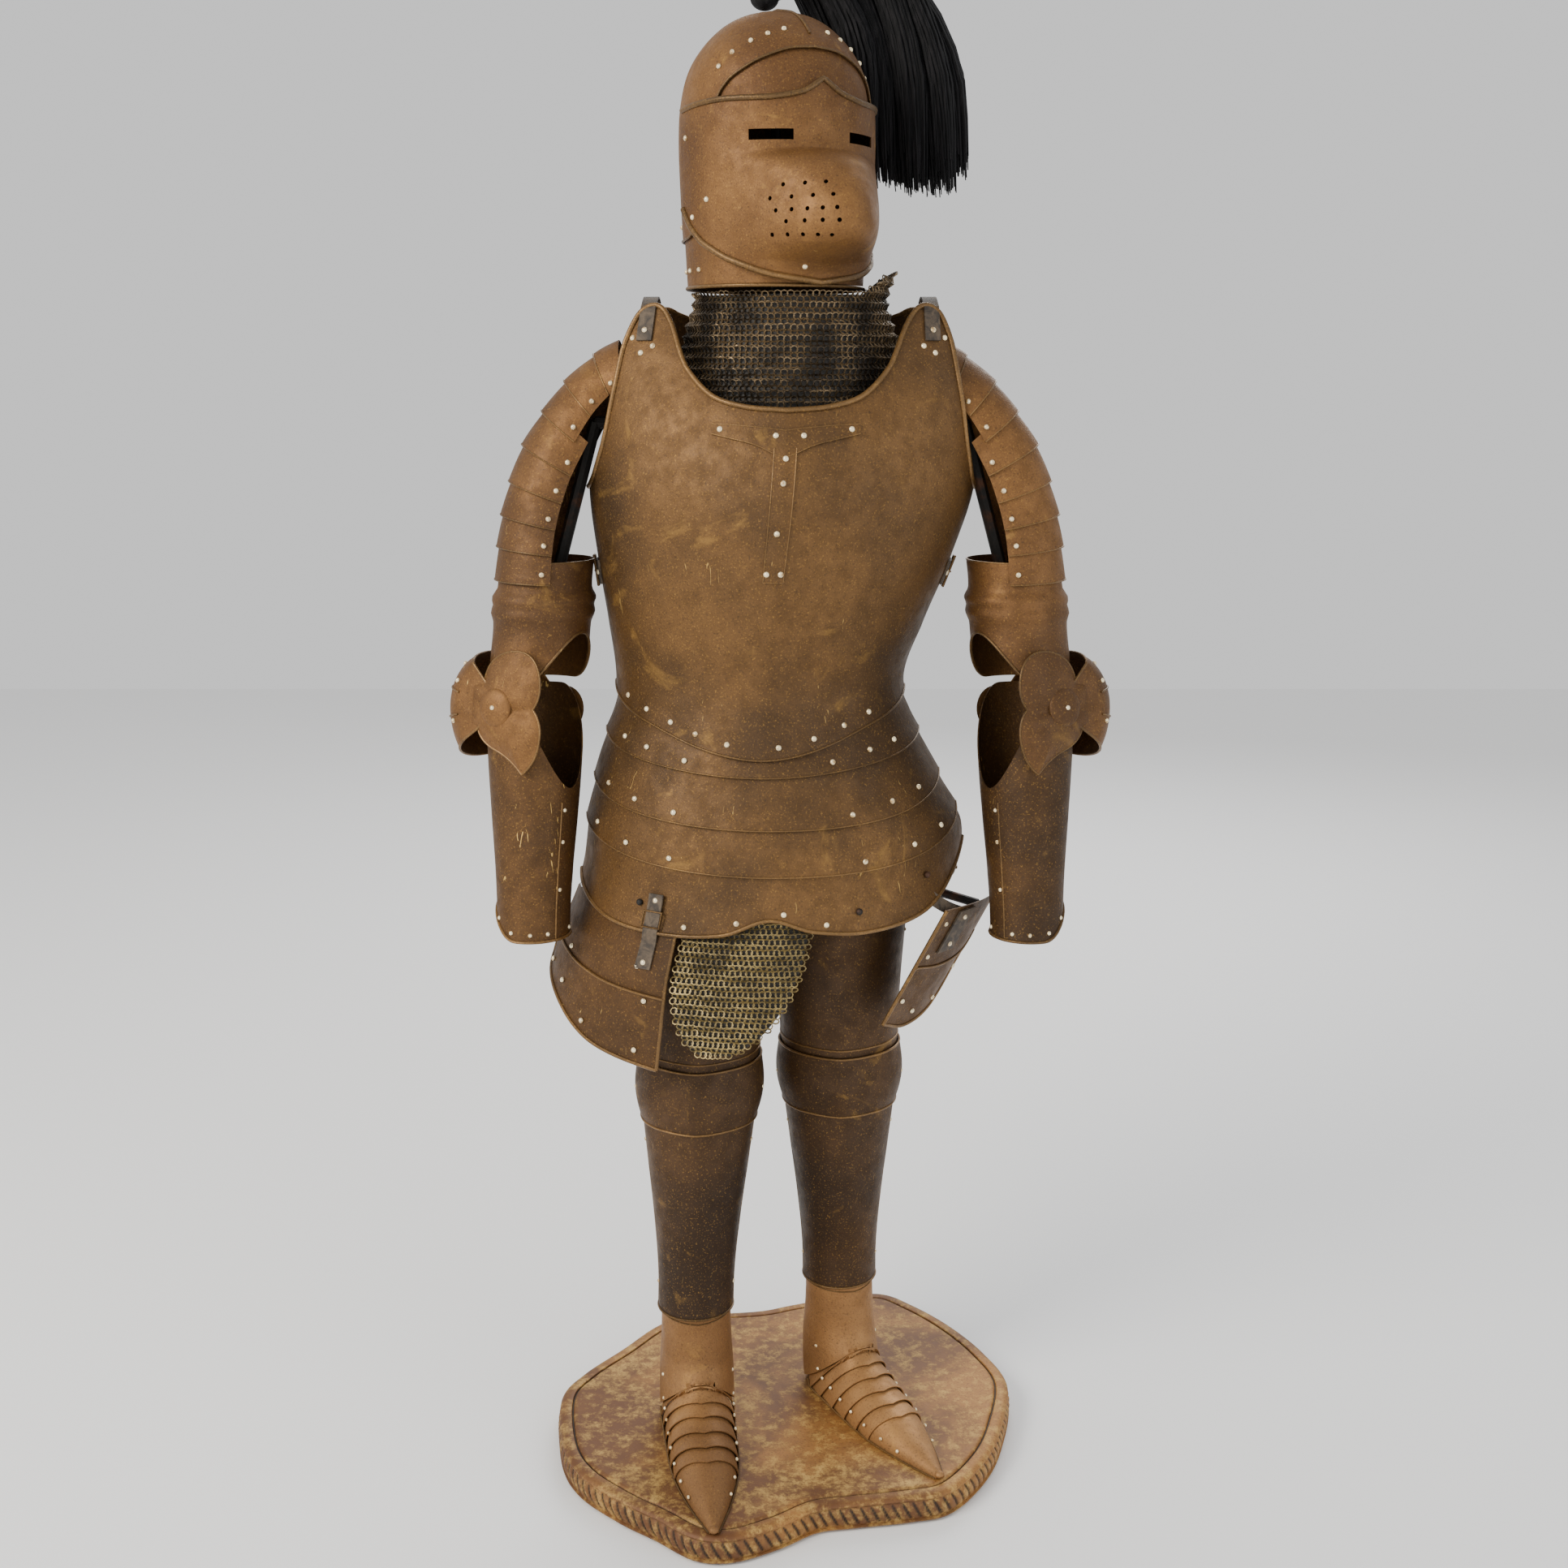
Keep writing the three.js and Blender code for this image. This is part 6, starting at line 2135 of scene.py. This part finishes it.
@dataclass(frozen=True)
class Plume:
    """A fall of black feathers: fine tapering strands round each lock's middle line."""

    # Each lock: the top of its arch, and its tip
    locks: tuple[tuple[tuple[float, float, float], tuple[float, float, float]], ...] = (
        ((10, 96, 1948), (96, 118, 1690)),
        ((46, 84, 1962), (128, 100, 1660)),
        ((88, 76, 1962), (168, 96, 1650)),
        ((118, 84, 1940), (206, 104, 1652)),
        ((60, 124, 1950), (150, 146, 1668)),
        ((104, 122, 1936), (192, 140, 1664)),
        ((20, 56, 1936), (104, 84, 1712)),
        ((136, 104, 1916), (224, 116, 1672)),
        ((-4, 84, 1940), (70, 140, 1706)),
        ((80, 100, 1958), (188, 122, 1654)),
        ((28, 112, 1908), (116, 148, 1674)),
        ((66, 100, 1918), (158, 128, 1662)),
    )
    strands: int = 116
    steps: int = 12
    thick: float = 21
    # From this share of its length on, a lock narrows
    taper: float = 0.8
    knot: tuple[float, float, float] = (18, 18, 14.5)
    seed: int = 5

    def build(self) -> None:
        """Makes the strands of all the locks."""
        dice = random.Random(self.seed)
        low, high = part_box("plume_socket")
        root = Vector(((low.x + high.x) / 2, high.y - 0.007, high.z + 0.013)) / MM
        lines = []
        for peak, tip in self.locks:
            lines += [self.strand(root, Vector(peak), Vector(tip), dice) for _ in range(self.strands)]
        piece("plume_strands", tubes(lines, 0), FEATHER, ["plume"])
        cores = []
        for peak, tip in self.locks:
            path = self.path(root, Vector(peak), Vector(tip))
            places = spread(0, 0.9, 24)
            radii = [15 * min(1, 0.55 + 2 * at) * min(1, (0.96 - at) * 6) for at in places]
            cores.append(Tube([Vector(path.at(at)[1:]) for at in places], radii))
        made = tubes(cores, 3)
        knot = Matrix.Translation(root * MM) @ Matrix.Diagonal((*(Vector(self.knot) * MM), 1))
        bmesh.ops.create_uvsphere(made, u_segments=24, v_segments=16, radius=1, matrix=knot)
        piece("plume_core", made, FEATHER)

    def path(self, root: Vector, peak: Vector, tip: Vector) -> Profile:
        """The middle line of a lock, from 0 at the root to 1 at the tip."""
        rise = toward(root, peak, 0.5) + Vector((-8, 0, 14))
        fall = toward(peak, tip, 0.5) + Vector((24, 6, 20))
        knots = (root, rise, peak, fall, tip)
        return Profile(("at", "x", "y", "z"), tuple((i / 4, *knot) for i, knot in enumerate(knots)))

    def strand(self, root: Vector, peak: Vector, tip: Vector, dice: random.Random) -> Tube:
        """One strand along a lock.

        Args:
            root: Where the plume leaves its socket.
            peak: The top of the lock's arch.
            tip: The lock's tip.
            dice: Seeded random numbers.

        Returns:
            The strand as a tapering bar.
        """
        path = self.path(root, peak, tip)
        angle = dice.uniform(0, 2 * math.pi)
        swell = math.sqrt(dice.uniform(0, 1)) * self.thick
        reach = dice.uniform(0.93, 1.0)
        curl = dice.uniform(-0.8, 0.8)
        points = []
        radii = []
        for i in range(self.steps + 1):
            at = reach * i / self.steps
            _, x, y, z = path.at(at)
            body = at < self.taper
            narrow = 1 if body else 1 - 0.2 * (at - self.taper) / 0.2
            ball = swell * (0.6 + 0.4 * min(1, at * 3.2)) * narrow
            a = angle + curl * at
            away = Vector((ball * math.cos(a), ball * math.sin(a) * 0.9, ball * 0.25 * math.sin(a * 2)))
            points.append(Vector((x, y, z)) + away)
            thin = 1 if body else max(0.3, (reach + 0.06 - at) / 0.26)
            radii.append(mix(1.6, 2.4, min(1, at * 4)) * thin)
        return Tube(points, radii)


# Stage


def light(name: str, place: Vector, aim: Vector, size: float, power: float, tint: Colour) -> None:
    """A soft square light.

    Args:
        name: Its name.
        place: Where it stands, in metres.
        aim: The point that it looks at.
        size: Side length in metres.
        power: Watts.
        tint: Colour.
    """
    data = bpy.data.lights.new(name, "AREA")
    data.size = size
    data.energy = power
    data.color = tint
    made = bpy.data.objects.new(name, data)
    made.location = place
    made.rotation_euler = (aim - place).to_track_quat("-Z", "Y").to_euler()
    bpy.context.scene.collection.objects.link(made)


@dataclass(frozen=True)
class Studio:
    """Camera, soft lights, pale world and floor."""

    eye: Vector = Vector((0, -2.3, 1.42))
    pitch: float = 12.75
    focal: float = 2200
    frame: int = 1932

    def camera(self) -> None:
        """The camera at the photograph's viewing angle."""
        data = bpy.data.cameras.new("camera")
        data.sensor_width = 36
        data.lens = 36 * self.focal / self.frame
        made = bpy.data.objects.new("camera", data)
        made.location = self.eye
        made.rotation_euler = (math.radians(90 - self.pitch), 0, 0)
        bpy.context.scene.collection.objects.link(made)
        bpy.context.scene.camera = made

    def dress(self) -> None:
        """The lights, the world and the floor."""
        middle = Vector((0, 0, 1.0))
        light("key", Vector((-2.9, -2.3, 3.1)), middle, 1.8, 165, (1, 0.95, 0.86))
        light("fill", Vector((3.0, -2.4, 1.8)), middle, 2.6, 36, (0.92, 0.96, 1))
        light("front", Vector((-0.4, -3.6, 1.0)), middle, 2.4, 22, (1, 0.97, 0.92))
        light("back", Vector((0.8, 3.2, 3.0)), middle, 2.4, 80, (1, 1, 1))
        world = bpy.data.worlds.new("studio")
        world.use_nodes = True
        backdrop = world.node_tree.nodes["Background"]
        backdrop.inputs["Color"].default_value = (1, 1, 1, 1)
        backdrop.inputs["Strength"].default_value = 0.85
        bpy.context.scene.world = world
        bm = empty_mesh()
        bmesh.ops.create_grid(bm, x_segments=1, y_segments=1, size=6)
        mesh = bpy.data.meshes.new("floor")
        bm.to_mesh(mesh)
        bm.free()
        shader = Shader("pale_floor")
        shader.set(Base_Color=(0.86, 0.86, 0.86), Roughness=0.8)
        mesh.materials.append(shader.material)
        made = bpy.data.objects.new("floor", mesh)
        bpy.context.scene.collection.objects.link(made)


def main() -> None:
    """Loads the frame, sets up the camera, builds every piece, gives the stand its iron and dresses the
    stage.
    """
    logging.basicConfig(level=logging.INFO, format="%(name)s %(message)s")
    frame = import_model()
    studio = Studio()
    studio.camera()
    Plinth().build()
    for foot_part in (Sabaton("right", -119, -98, 7), Sabaton("left", 77, -12, 27)):
        foot_part.build()
    for leg in (Leg("right", (-119, -98), (-108, -22)), Leg("left", (77, -12), (74, 10))):
        leg.build()
    Cuirass().build()
    Fauld().build()
    Tassets().build()
    Mail().build()
    for side in ("right", "left"):
        Arm(side).build()
    Helmet().build()
    Plume().build()
    stand = frame["nodes"]["inner_frame"]
    stand.data.materials.clear()
    stand.data.materials.append(IRON.material())
    studio.dress()


if __name__ == "__main__":
    main()
